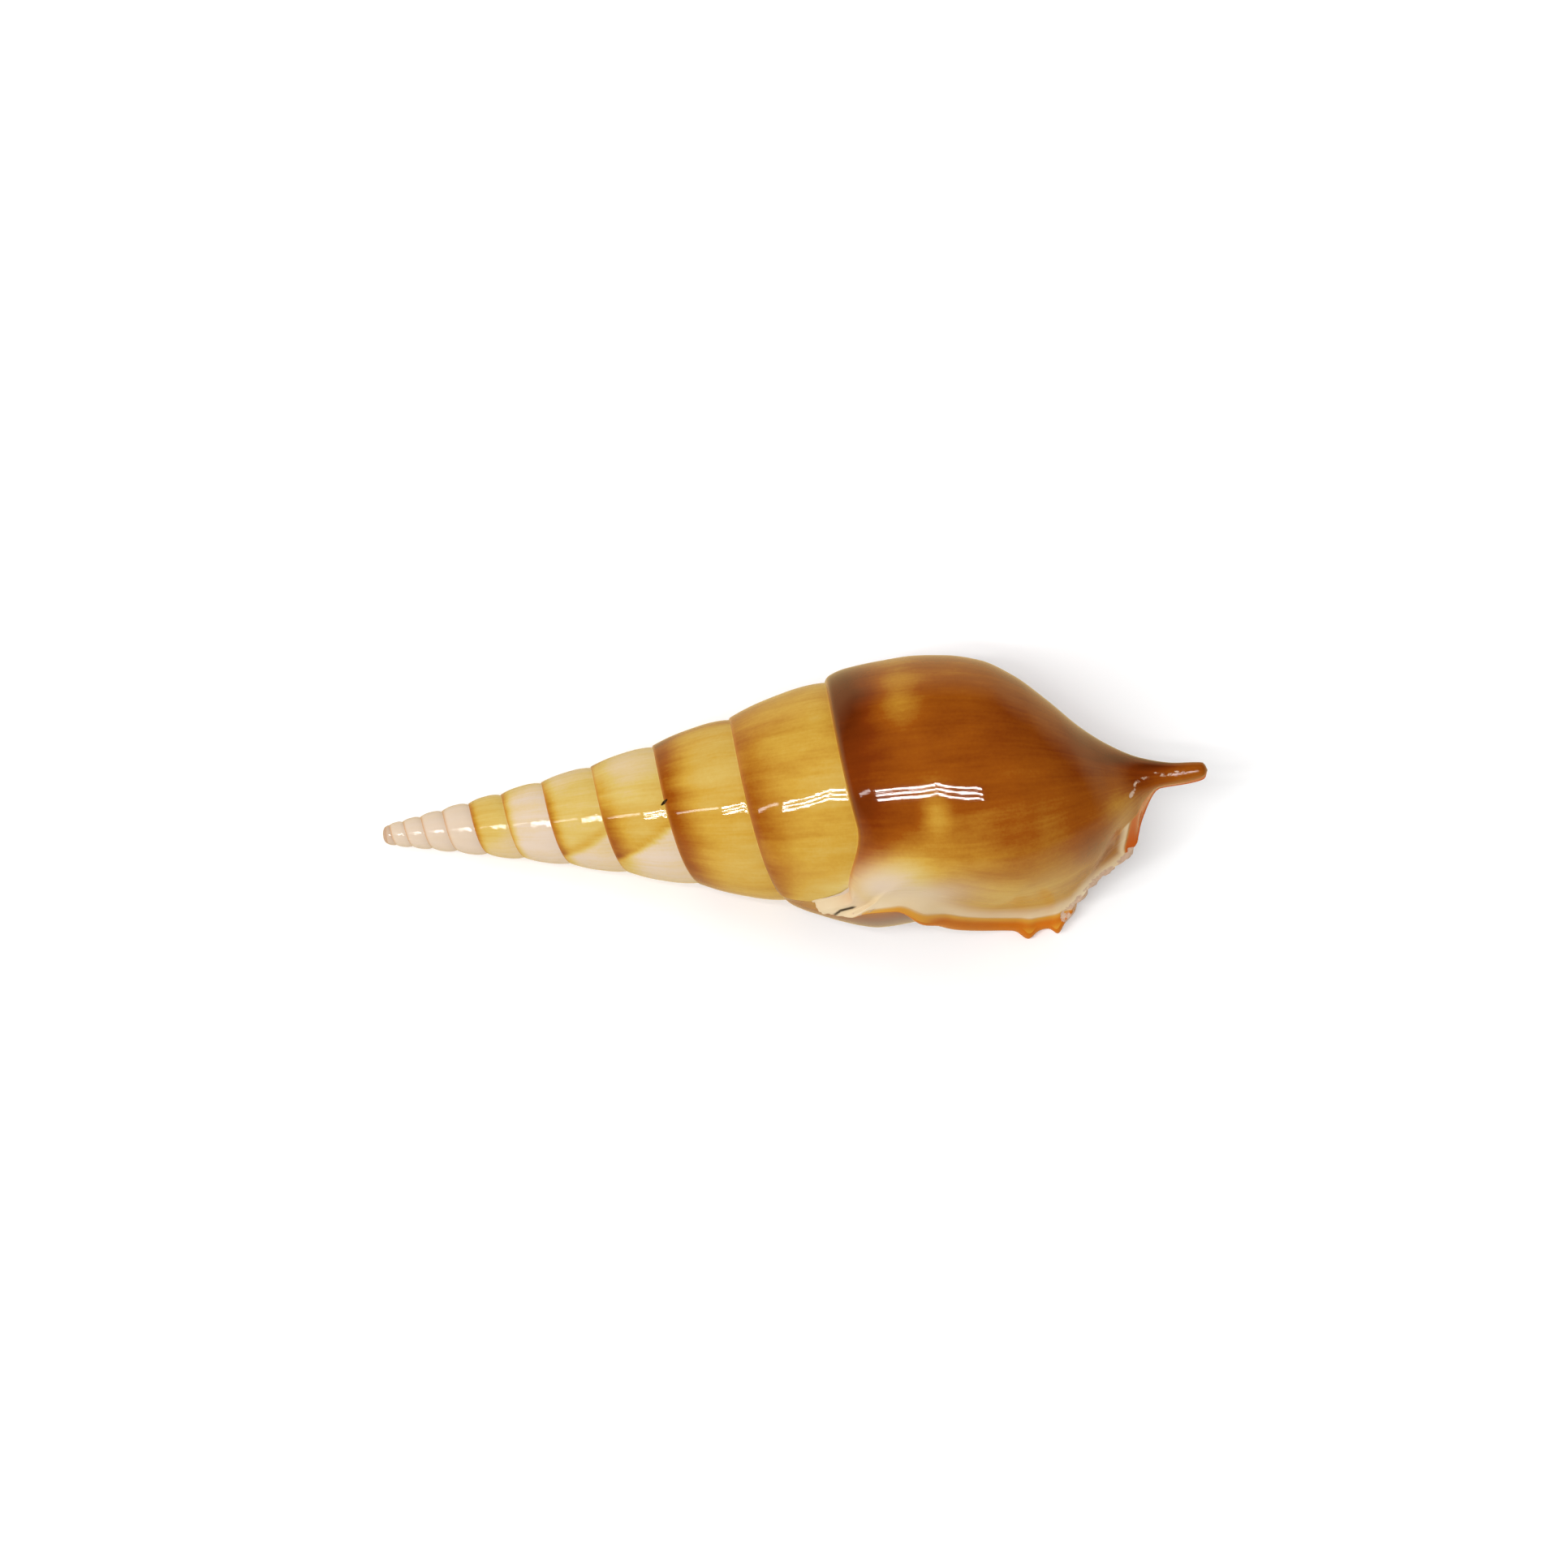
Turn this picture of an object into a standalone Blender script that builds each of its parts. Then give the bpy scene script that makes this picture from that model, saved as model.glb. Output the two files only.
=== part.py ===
"""A long spindle-shaped sea snail shell: one closed solid, lying with its opening down.

The shell coils about one axis. In its own frame x runs along that axis from the tip of the spire
(0) to the tip of the front canal, y to the side and z to the back of the shell, in millimetres.
An angle is the turn number times 360 degrees, counted from +y by +z.
"""

import math

import bmesh
import bpy
import numpy as np
from mathutils import Matrix, Vector

MM = 0.001

# Resting pose: the shell lies on its lip, its belly and the tip of its spire
PITCH_DEG = 13.726
ROLL_DEG = 12.242

# Growth of the spiral: place of an edge along the axis at a turn number
POLE_X = -12.8
POLE_SPAN = 75.6
GROWTH = 0.2055
GROWTH_RISE = 0.0018
WHORL_GROWTH = 0.2034

# Spire radius as a function of the place along the axis
EDGE_RADIUS_0 = 1.434
EDGE_RADIUS_1 = 0.1578
EDGE_RADIUS_2 = 0.000922
WHORL_BULGE = 0.062
EARLY_BULGE = 0.9
EARLY_TURNS = (-6.5, -2.5)
BULGE_POWER = 2.6

# Tip of the spire, worn round
FIRST_TURN = -10.574
TIP_RING_X = 0.75
TIP_DECAY_TURNS = 0.4

# Body whorl one turn before the lip: fraction along its section, radius
BODY_X0 = 80.2
SECTION = (
    (0.000, 19.70),
    (0.015, 20.70),
    (0.060, 21.90),
    (0.150, 22.90),
    (0.240, 23.40),
    (0.330, 23.00),
    (0.420, 21.60),
    (0.500, 18.60),
    (0.580, 14.10),
    (0.660, 9.30),
    (0.740, 5.90),
    (0.820, 3.50),
    (0.900, 2.15),
    (0.965, 1.60),
    (1.000, 0.00),
)
# Where the section stops growing with the spiral and keeps to the canal
HELD_AT = (0.55, 0.90)

# Front canal, moved aside from the axis
CANAL_TIP = (146.0, -0.9, -0.6)
CANAL_Y = -1.2
CANAL_Z = -1.0
CANAL_ASIDE_AT = (0.50, 0.84)
CANAL_END_AT = 0.90

# The last edge leaves the spiral and steps back up the spire before the lip: angles, depth
EDGE_DIPS = ((105.0, 146.0, 5.5), (142.0, 154.0, 7.7))
# Stretch of the section that follows the edge when it steps back
PULL_AT = 0.30

# Thick glaze on the belly beside the opening
GLAZE = 2.5
GLAZE_TURNS = (0.43, 0.52, 0.58, 0.74)
GLAZE_PLACES = (70.0, 87.0, 93.0, 112.0)

# Turn numbers of the inner lip, on the spire and on the canal, and of the end of the regular spiral
INNER_TURN = 0.426
CANAL_INNER_TURN = 0.86
CANAL_INNER_AT = (0.56, 0.84)
BLEND_TURN = 0.02
JOIN_TURN = 1.33

# Edge of the lip from its flap on the spire to the canal tip: fraction, x, y, z
LIP = (
    (0.00, 75.8, -16.5, 8.3),
    (0.03, 76.8, -18.6, 6.0),
    (0.08, 80.3, -20.0, 6.4),
    (0.15, 85.1, -19.5, 9.4),
    (0.22, 90.2, -19.8, 8.6),
    (0.29, 95.0, -22.4, 1.5),
    (0.36, 100.1, -24.3, -9.0),
    (0.43, 105.8, -25.1, -17.2),
    (0.50, 111.9, -25.6, -21.0),
    (0.57, 116.7, -24.7, -20.5),
    (0.66, 123.5, -19.5, -15.8),
    (0.74, 130.7, -14.6, -11.0),
    (0.80, 133.4, -8.2, -7.0),
    (0.86, 137.2, -3.4, -3.2),
    (0.93, 142.2, -3.0, -2.1),
    (0.975, 145.2, -2.4, -1.6),
    (1.00, 146.0, -0.9, -0.6),
)
# Blunt teeth of the lip: place, half width, height
LIP_TEETH = ((110.3, 1.3, 1.5), (115.2, 1.2, 1.5))
TOOTH_REACH = 7
# Thickness of the lip's rounded rim along it, and how far it bulges, as a share of the thickness
RIM = (
    (0.00, 0.0),
    (0.06, 0.5),
    (0.16, 1.2),
    (0.26, 1.6),
    (0.36, 2.6),
    (0.52, 2.8),
    (0.60, 1.7),
    (0.74, 1.5),
    (0.82, 1.0),
    (0.95, 0.7),
    (1.00, 0.0),
)
RIM_BULGE = 0.45
BROKEN_BULGE = 0.15
BROKEN_AT = (0.56, 0.60, 0.76, 0.80)
# How far the skin runs straight into the lip
FLARE = 13.0
FLARE_SHARE = 0.6
FLARE_SPANS = (0.05, 0.25)

# The last whorl lies a little above the older one
FLAP_LIFT = 0.9
RIM_LIFT = 1.4
FLAP_SOFTNESS = 0.25
FLAP_END_X = 99.0
FLAP_FADE = 6.0

# Cavity
WALL = 1.5
INNER_WALL = 0.7
DEEP_TURN = 0.62
CLEAR_GAP = 1.4
END_MARGINS = (1.0, 4.0)
ROUNDNESS = 8
INNER_LIP_SINK = 0.85
CLOSING_SHARES = (0.55, 0.2)

# Grid sizes
REGULAR_COLUMNS = 25
LIP_COLUMNS = 7
SPIRE_ROWS = 5
BODY_ROWS = 38
RIM_STEPS = 3
TUBE_RINGS = 14
DOME_RINGS = 3
TEETH_ROWS_AT = (0.44, 0.47, 0.56, 0.60)
TEETH_ROWS_DENSITY = 2.4

# Nearest two points may lie before they are joined, and steps for slopes
WELD = 2e-4
SLOPE_T = 0.004
SLOPE_V = 0.01
TINY = 1e-9


def smooth(value, low, high):
    """A step that starts and ends softly, 0 below low and 1 above high."""
    t = np.clip((np.asarray(value, float) - low) / (high - low), 0.0, 1.0)
    return t * t * (3.0 - 2.0 * t)


def plateau(value, stations):
    """1 between the two middle stations, fading to 0 at the outer ones."""
    a, b, c, d = stations
    return smooth(value, a, b) * (1.0 - smooth(value, c, d))


def hermite(t, start, end, leave, arrive):
    """A curve from start to end that leaves and arrives with the given speeds."""
    t2 = t * t
    t3 = t2 * t
    placed = (2 * t3 - 3 * t2 + 1) * start + (3 * t2 - 2 * t3) * end
    return placed + (t3 - 2 * t2 + t) * leave + (t3 - t2) * arrive


def through(stations, column, t):
    """One column of a table of stations at the fractions t, as a curve without overshoot."""
    at = np.array([row[0] for row in stations])
    values = np.array([row[column] for row in stations])
    step = np.diff(at)
    slope = np.diff(values) / step
    tangent = np.zeros(len(at))
    tangent[0] = slope[0]
    tangent[-1] = slope[-1]
    same = slope[1:] * slope[:-1] > 0.0
    mean = 2.0 * slope[1:] * slope[:-1] / np.where(same, slope[1:] + slope[:-1], 1.0)
    tangent[1:-1] = np.where(same, mean, 0.0)
    t = np.clip(np.asarray(t, float), at[0], at[-1])
    i = np.clip(np.searchsorted(at, t, side="right") - 1, 0, len(step) - 1)
    leave = step[i] * tangent[i]
    arrive = step[i] * tangent[i + 1]
    return hermite((t - at[i]) / step[i], values[i], values[i + 1], leave, arrive)


def inverse(place, x):
    """The fraction between 0 and 1 where a rising function has the value x."""
    low = np.zeros(np.shape(x))
    high = np.ones(np.shape(x))
    for _ in range(30):
        middle = 0.5 * (low + high)
        below = place(middle) < x
        low = np.where(below, middle, low)
        high = np.where(below, high, middle)
    return 0.5 * (low + high)


def spaced(count, density):
    """Fractions from 0 to 1 that lie closer together where the density is high."""
    fine = np.linspace(0.0, 1.0, 4001)
    weight = density(fine)
    total = np.concatenate([[0.0], np.cumsum(0.5 * (weight[1:] + weight[:-1]))])
    return np.interp(np.linspace(0.0, 1.0, count + 1), total / total[-1], fine)


def spiral_x(turn):
    """Place along the axis of the seam between two whorls."""
    turn = np.asarray(turn, float)
    x = POLE_X + POLE_SPAN * np.exp(GROWTH * turn + GROWTH_RISE * turn * turn)
    start = FIRST_TURN + 1.0
    at_start = POLE_X + POLE_SPAN * math.exp(GROWTH * start + GROWTH_RISE * start * start)
    fade = np.exp(-np.maximum(turn - start, 0.0) / TIP_DECAY_TURNS)
    return np.where(turn <= start, TIP_RING_X, x - (at_start - TIP_RING_X) * fade)


def edge_x(turn):
    """The seam with the last part stepped back before the lip."""
    angle = (np.asarray(turn, float) - 1.0) * 360.0
    dip = sum(depth * smooth(angle, low, high) for low, high, depth in EDGE_DIPS)
    return spiral_x(turn) - dip


def spire_radius(turn, x):
    """Radius of a spire whorl: straight between its two seams, plus a soft bulge."""
    first = spiral_x(turn)
    width = np.maximum(spiral_x(turn + 1.0) - first, TINY)
    s = np.clip((x - first) / width, 0.0, 1.0)
    straight = EDGE_RADIUS_0 + EDGE_RADIUS_1 * x + EDGE_RADIUS_2 * x * x
    bulge = WHORL_BULGE * (1.0 + EARLY_BULGE * (1.0 - smooth(turn, *EARLY_TURNS)))
    return straight + bulge * width * (1.0 - np.abs(2.0 * s - 1.0) ** BULGE_POWER)


def growth(turn):
    """Size of the body whorl at a turn number, against its size one turn before the lip."""
    return np.exp(WHORL_GROWTH * (np.asarray(turn, float) - 1.0))


def body_x(turn, t):
    """Place along the axis of a point on the body whorl."""
    x_one = BODY_X0 + (CANAL_TIP[0] - BODY_X0) * t
    grown = POLE_X + (x_one - POLE_X) * growth(turn)
    return grown + (x_one - grown) * smooth(t, *HELD_AT)


def plain_body(turn, t):
    """Place and radius on the body whorl before its start is drawn to the seam."""
    x = body_x(turn, t)
    grown = (growth(turn) - 1.0) * (1.0 - smooth(t, *HELD_AT))
    radius = through(SECTION, 1, t) * (1.0 + grown)
    return x, radius + GLAZE * plateau(turn, GLAZE_TURNS) * plateau(x, GLAZE_PLACES)


def older_radius(turn, x):
    """Outer skin of an older whorl at a place along the axis, also where a later one covers it."""
    turn, x = np.broadcast_arrays(np.asarray(turn, float), np.asarray(x, float))
    return plain_body(turn, inverse(lambda t: body_x(turn, t), x))[1]


def whorl_radius(turn, x):
    """Spire whorl that passes into the body whorl over its last stretch."""
    share = smooth(turn, BLEND_TURN, INNER_TURN - BLEND_TURN)
    radius = spire_radius(turn, x)
    return radius + (older_radius(turn, x) - radius) * share


def seam(turn):
    """Place and radius of the seam that starts at this turn number."""
    x = edge_x(turn)
    return x, whorl_radius(np.asarray(turn, float) - 1.0, x)


def centre(t):
    """Centre of the section: on the axis, then moved aside along the canal."""
    aside = smooth(t, *CANAL_ASIDE_AT)
    last = smooth(t, CANAL_END_AT, 1.0)
    y = CANAL_Y * aside + (CANAL_TIP[1] - CANAL_Y) * last
    z = CANAL_Z * aside + (CANAL_TIP[2] - CANAL_Z) * last
    return y, z


def point(turn, x, radius, y=0.0, z=0.0):
    """A point at an angle and a radius round a centre."""
    angle = 2.0 * math.pi * np.asarray(turn, float)
    place = np.broadcast_arrays(x, y + radius * np.cos(angle), z + radius * np.sin(angle))
    return np.stack(place, -1)


def seam_pull(t):
    """Share of the seam's own shift that the section follows, from 1 at the seam to 0."""
    return np.clip(1.0 - t / PULL_AT, 0.0, 1.0) ** 2


def body_section(turn, t):
    """Place and radius on the body whorl, drawn to the seam at its start."""
    x, radius = plain_body(turn, t)
    seam_x, seam_r = seam(turn)
    x_0, r_0 = plain_body(turn, np.zeros_like(t))
    return x + (seam_x - x_0) * seam_pull(t), radius + (seam_r - r_0) * seam_pull(t)


def body_point(turn, t):
    x, radius = body_section(turn, t)
    y, z = centre(t)
    return point(turn, x, radius, y, z)


def lip_line(t):
    """Outer edge of the lip, without its teeth."""
    return np.stack([through(LIP, column, t) for column in (1, 2, 3)], -1)


def teeth(t):
    """How far the two blunt teeth stand out from the edge of the lip."""
    x = through(LIP, 1, t)
    out = np.zeros(x.shape + (3,))
    for at, half_width, height in LIP_TEETH:
        out[..., 1] -= height * np.exp(-(((x - at) / half_width) ** 2))
    return out


def flare_direction(t):
    """Direction in which the skin arrives at the lip."""
    low = smooth(t, 0.22, 0.36)
    canal = smooth(t, 0.70, 0.86)
    y = -0.60 - 0.37 * low + 0.50 * canal
    z = -0.80 + 0.55 * low - 0.60 * canal
    size = np.sqrt(y * y + z * z)
    return np.stack([np.zeros_like(t), y / size, z / size], -1)


def lifted(points, t):
    """Keeps the last whorl a little above the older one that it lies on."""
    points = points.copy()
    near = (points[..., 0] < FLAP_END_X) & (t > 0.0)
    x, y, z = points[near].T
    radius = np.hypot(y, z)
    turn = (np.arctan2(z, y) / (2.0 * math.pi)) % 1.0
    at = np.broadcast_to(t, near.shape)[near]
    lift = FLAP_LIFT * smooth(at, 0.0, 0.03) + RIM_LIFT * smooth(at, 0.07, 0.13)
    under = whorl_radius(turn, x) + lift
    raised = under + FLAP_SOFTNESS * np.logaddexp(0.0, (radius - under) / FLAP_SOFTNESS)
    share = smooth(x, FLAP_END_X - FLAP_FADE, FLAP_END_X)
    scale = (raised + (radius - raised) * share) / radius
    points[near] = np.stack([x, y * scale, z * scale], -1)
    return points


def free_skin(v, t):
    """The last stretch of the body whorl before its start is drawn to the seam."""
    start = body_point(JOIN_TURN, t)
    leave = (start - body_point(JOIN_TURN - SLOPE_T, t)) / SLOPE_T
    end = lip_line(t)
    angle = np.arctan2(end[..., 2], end[..., 1]) / (2.0 * math.pi)
    span = np.clip((angle - (JOIN_TURN - 1.0)) % 1.0, *FLARE_SPANS)[..., None]
    reach = np.linalg.norm(end - start, axis=-1, keepdims=True)
    arrive = flare_direction(t) * np.minimum(FLARE, FLARE_SHARE * reach)
    return hermite(v[..., None], start, end, leave * span, arrive)


def lip_turn(v):
    """Turn number on the last stretch of the body whorl, which crowds up before the lip."""
    return JOIN_TURN + (INNER_TURN + 1.0 - JOIN_TURN) * np.asarray(v, float)


def skin(v, t):
    """The last stretch of the body whorl: from the regular spiral (0) to the lip (1)."""
    v, t = np.broadcast_arrays(np.asarray(v, float), np.asarray(t, float))
    seam_x, seam_r = seam(lip_turn(v))
    shift = point(lip_turn(v), seam_x, seam_r) - free_skin(v, np.zeros_like(t))
    return lifted(free_skin(v, t) + shift * seam_pull(t)[..., None], t)


def skin_normal(v, t):
    """Outward direction of that stretch."""
    along = skin(v, np.clip(t + SLOPE_T, 0.0, 1.0)) - skin(v, np.clip(t - SLOPE_T, 0.0, 1.0))
    across = skin(min(v + SLOPE_V, 1.0), t) - skin(max(v - SLOPE_V, 0.0), t)
    normal = np.cross(across, along)
    return normal / np.maximum(np.linalg.norm(normal, axis=-1, keepdims=True), TINY)


def rim_vector(t):
    """From the outer to the inner edge of the lip, square to the skin there."""
    ahead = lip_line(np.clip(t + SLOPE_T, 0.0, 1.0))
    along = ahead - lip_line(np.clip(t - SLOPE_T, 0.0, 1.0))
    inward = np.cross(along, flare_direction(t))
    inward = inward / np.linalg.norm(inward, axis=-1, keepdims=True)
    return inward * through(RIM, 1, t)[..., None]


def whorl_density(s):
    """Rows across a spire whorl lie closer together at its two seams."""
    return 1.0 + np.exp(-s / 0.1) + np.exp(-(1.0 - s) / 0.1)


def lip_density(t):
    """Rows of the body whorl lie closer together at the teeth of the lip."""
    return 1.0 + TEETH_ROWS_DENSITY * plateau(t, TEETH_ROWS_AT)


ACROSS = spaced(SPIRE_ROWS, whorl_density)
AT_LIP = spaced(BODY_ROWS, lip_density)


def spire_rows(turn):
    """Points across spire whorls, a column for each turn number."""
    turn = np.asarray(turn, float)[None, :]
    first, first_r = seam(turn)
    last, last_r = seam(turn + 1.0)
    x = first + (last - first) * ACROSS[:, None]
    radius = whorl_radius(turn, x)
    radius[0] = first_r[0]
    radius[-1] = last_r[0]
    return point(turn, x, radius)


def inner_turn(t):
    """Turn number of the line where the inner lip begins, further round on the canal."""
    return INNER_TURN + (CANAL_INNER_TURN - INNER_TURN) * smooth(t, *CANAL_INNER_AT)


def t_of_x(turn, x):
    """Fraction along the section at a place along the axis."""
    return inverse(lambda t: body_section(turn, t)[0], x)


def first_column():
    """Row fractions on the inner lip line: those shared with the spire, then the rest."""
    shared = t_of_x(INNER_TURN, spire_rows([INNER_TURN])[:, 0, 0])
    shared[0] = 0.0
    rest = np.linspace(0.0, 1.0, BODY_ROWS - SPIRE_ROWS + 1)[1:]
    return np.concatenate([shared, shared[-1] + (1.0 - shared[-1]) * rest])


FIRST = first_column()
INNER_PLACES = (FIRST[SPIRE_ROWS:] - FIRST[SPIRE_ROWS]) / (1.0 - FIRST[SPIRE_ROWS])


def body_rows(column):
    """Row fractions on a column of the body whorl, 0 on the inner lip line and 1 at the lip."""
    return FIRST[:, None] + (AT_LIP - FIRST)[:, None] * smooth(column, 0.0, 0.9)


def body_block():
    """Points of the body whorl from the inner lip line round to the lip, and its columns' turns."""
    total = REGULAR_COLUMNS + LIP_COLUMNS
    k = np.arange(REGULAR_COLUMNS + 1)
    t = body_rows(k / total)
    start = inner_turn(t)
    regular = body_point(start + (JOIN_TURN - start) * (k / REGULAR_COLUMNS), t)
    v = np.arange(1, LIP_COLUMNS + 1) / LIP_COLUMNS
    t_lip = body_rows((REGULAR_COLUMNS + np.arange(1, LIP_COLUMNS + 1)) / total)
    last = skin(v, t_lip) + teeth(t_lip) * (v**TOOTH_REACH)[:, None]
    points = np.concatenate([regular, last], 1)
    points[-1, :] = CANAL_TIP
    regular_turns = INNER_TURN + (JOIN_TURN - INNER_TURN) * (k / REGULAR_COLUMNS)
    turns = np.concatenate([regular_turns, lip_turn(v)])
    points[0] = point(turns, *seam(turns))
    points[: SPIRE_ROWS + 1, 0] = spire_rows([INNER_TURN])[:, 0]
    return points, turns


def rim_rows(edge):
    """The rounded edge of the lip, from its outer to its inner side, flatter where it is broken."""
    bulge = RIM_BULGE + (BROKEN_BULGE - RIM_BULGE) * plateau(AT_LIP, BROKEN_AT)
    thick = through(RIM, 1, AT_LIP)
    rows = []
    for k in range(RIM_STEPS + 1):
        turn = math.pi * k / RIM_STEPS
        across = rim_vector(AT_LIP) * (0.5 - 0.5 * math.cos(turn))
        out = flare_direction(AT_LIP) * (bulge * thick * math.sin(turn))[:, None]
        rows.append(edge + across + out)
    return np.stack(rows, 1)


def section_limits(turn):
    """Where along the axis the cavity starts and ends at one turn number."""
    after, before = END_MARGINS
    x = np.linspace(float(edge_x(turn)) + after, CANAL_TIP[0] - before, 240)
    gap = older_radius(turn, x) - WALL - older_radius(turn - 1.0, x) - INNER_WALL
    clear = np.nonzero(gap > CLEAR_GAP)[0]
    return x[clear[0]], x[clear[-1]]


def regular_sides(turn, at):
    """Outer and inner side of the cavity in one flat section."""
    first, last = section_limits(turn)
    x = first + (last - first) * at
    y, z = centre(t_of_x(turn, x))
    outer = point(turn, x, older_radius(turn, x) - WALL, y, z)
    inner = point(turn - 1.0, x, older_radius(turn - 1.0, x) + INNER_WALL, y, z)
    return outer, inner


def lip_sides(v, at):
    """Outer and inner side of the cavity between the regular spiral and the lip."""
    first, last = section_limits(JOIN_TURN)
    x = first + (last - first) * at
    t = t_of_x(JOIN_TURN, x)
    t = t + (at - t) * v
    thick = WALL + (through(RIM, 1, at) - WALL) * v * v
    outer = skin(v, t) - skin_normal(v, t) * thick[:, None] + teeth(t) * v ** (2 * TOOTH_REACH)
    t_edge = FIRST[SPIRE_ROWS] + (1.0 - FIRST[SPIRE_ROWS]) * at
    edge_turn = inner_turn(t_edge)
    turn = JOIN_TURN - 1.0 + (edge_turn - JOIN_TURN + 1.0) * v
    place = x + (body_section(edge_turn, t_edge)[0] - x) * v
    radius = older_radius(turn, place) + INNER_WALL * (1.0 - v)
    sunk = smooth(t_edge, 0.70, 0.85) * smooth(edge_turn - turn, 0.0, 0.25)
    y, z = centre(t_of_x(JOIN_TURN, place))
    return outer, point(turn, place, radius * (1.0 - INNER_LIP_SINK * sunk), y, z)


def closed_sides(sides, parameter, at, closing):
    """The two sides drawn together at their ends, fully where closing is 1."""
    outer, inner = sides(parameter, at)
    middle = 0.5 * (outer + inner)
    shut = np.sqrt(1.0 - np.abs(2.0 * at - 1.0) ** ROUNDNESS)
    shut = (1.0 + (shut - 1.0) * closing)[:, None]
    return middle + (outer - middle) * shut, middle + (inner - middle) * shut


def cavity_ring(sides, parameter, closing):
    """One closed loop of the cavity: out along the outer side and back along the inner side."""
    outer = closed_sides(sides, parameter, AT_LIP, closing)[0]
    inner = closed_sides(sides, parameter, INNER_PLACES, closing)[1]
    ends = closed_sides(sides, parameter, np.array([0.0, 1.0]), closing)
    outer[[0, -1]] = 0.5 * (ends[0] + ends[1])
    return np.concatenate([outer, inner[-2:0:-1]])


def cavity_block(rim, body):
    """Rings of the cavity from the lip and the inner lip line to its closed end."""
    rings = [np.concatenate([rim[:, -1], body[SPIRE_ROWS:, 0][-2:0:-1]])]
    for k in range(1, LIP_COLUMNS):
        rings.append(cavity_ring(lip_sides, 1.0 - k / LIP_COLUMNS, min(1.0, k / 3.0)))
    for turn in np.linspace(JOIN_TURN, DEEP_TURN, TUBE_RINGS):
        rings.append(cavity_ring(regular_sides, turn, 1.0))
    last = rings[-1]
    middle = last.mean(axis=0)
    for share in CLOSING_SHARES + (0.0,):
        rings.append(middle + (last - middle) * share)
    rings = np.stack(rings, 1)
    return np.concatenate([rings, rings[:1]], 0)


def strip_turns(last_turn):
    """Turn numbers of the strip's columns, repeated turn by turn so that neighbours share points."""
    cycle = np.asarray(last_turn[:-1])
    count = int(cycle[0] - FIRST_TURN + WELD)
    shifted = [cycle - shift for shift in range(count, -1, -1)]
    return np.concatenate(shifted + [np.asarray(last_turn[-1:])])


def dome(ring):
    """Rows of points from the first whorl's ring to the rounded tip."""
    rows = []
    for k in range(DOME_RINGS + 2):
        angle = 0.5 * math.pi * k / (DOME_RINGS + 1)
        row = ring.copy()
        row[:, 1:] *= math.cos(angle)
        row[:, 0] = TIP_RING_X * (1.0 - math.sin(angle))
        rows.append(row)
    rows = np.stack(rows[::-1], 0)
    return np.concatenate([rows, rows[:, :1]], 1)


def blocks():
    """Every block of points of the shell; neighbouring blocks share the points between them."""
    body, turns = body_block()
    spire = spire_rows(strip_turns(turns - 1.0))
    rim = rim_rows(body[:, -1])
    return [dome(spire[0, : len(turns) - 1]), spire, body, rim, cavity_block(rim, body)]


def add_block(work, block):
    """Adds a grid of points and the quads between them."""
    rows, columns = block.shape[:2]
    verts = [[work.verts.new(place) for place in row] for row in block.tolist()]
    for i in range(rows - 1):
        for j in range(columns - 1):
            work.faces.new((verts[i][j], verts[i][j + 1], verts[i + 1][j + 1], verts[i + 1][j]))


def rest_turn():
    """From the shell's own frame in millimetres to its resting attitude in metres."""
    pitch = Matrix.Rotation(math.radians(-PITCH_DEG), 4, "Y")
    roll = Matrix.Rotation(math.radians(ROLL_DEG), 4, "X")
    return Matrix.Scale(MM, 4) @ pitch @ roll


def make_shell():
    work = bmesh.new()
    for block in blocks():
        add_block(work, block)
    bmesh.ops.remove_doubles(work, verts=work.verts, dist=WELD)
    bmesh.ops.dissolve_degenerate(work, edges=work.edges, dist=0.5 * WELD)
    bmesh.ops.triangulate(work, faces=work.faces)
    bmesh.ops.recalc_face_normals(work, faces=work.faces)
    work.transform(rest_turn())
    low = Vector([min(v.co[i] for v in work.verts) for i in range(3)])
    high = Vector([max(v.co[i] for v in work.verts) for i in range(3)])
    middle = (low + high) / 2.0
    work.transform(Matrix.Translation((-middle.x, -middle.y, -low.z)))
    data = bpy.data.meshes.new("shell")
    work.to_mesh(data)
    work.free()
    for polygon in data.polygons:
        polygon.use_smooth = True
    return bpy.data.objects.new("shell", data)


def glazed_material():
    material = bpy.data.materials.new("shell_glaze")
    material.use_nodes = True
    shader = material.node_tree.nodes["Principled BSDF"]
    shader.inputs["Base Color"].default_value = (0.55, 0.28, 0.08, 1.0)
    shader.inputs["Roughness"].default_value = 0.25
    return material


def main():
    for old in list(bpy.data.objects):
        bpy.data.objects.remove(old, do_unlink=True)
    group = bpy.data.collections.new("tibia_shell")
    bpy.context.scene.collection.children.link(group)
    shell = make_shell()
    shell.data.materials.append(glazed_material())
    group.objects.link(shell)


main()
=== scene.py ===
"""Looks of the long spindle shell: a fine skin in place of the faceted solid, its glaze and its wear.

In the shell's own frame, in millimetres, x runs along the coiling axis from the tip of the spire (0)
to the tip of the front canal, y to the side and z to the back. A turn number counts whorls: an angle
of turn * 360 degrees, from +y by +z. The finished skin is turned into the rest pose of the frame.
"""

import math

import bmesh
import bpy
import numpy as np
from mathutils import Matrix, Vector


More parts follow.
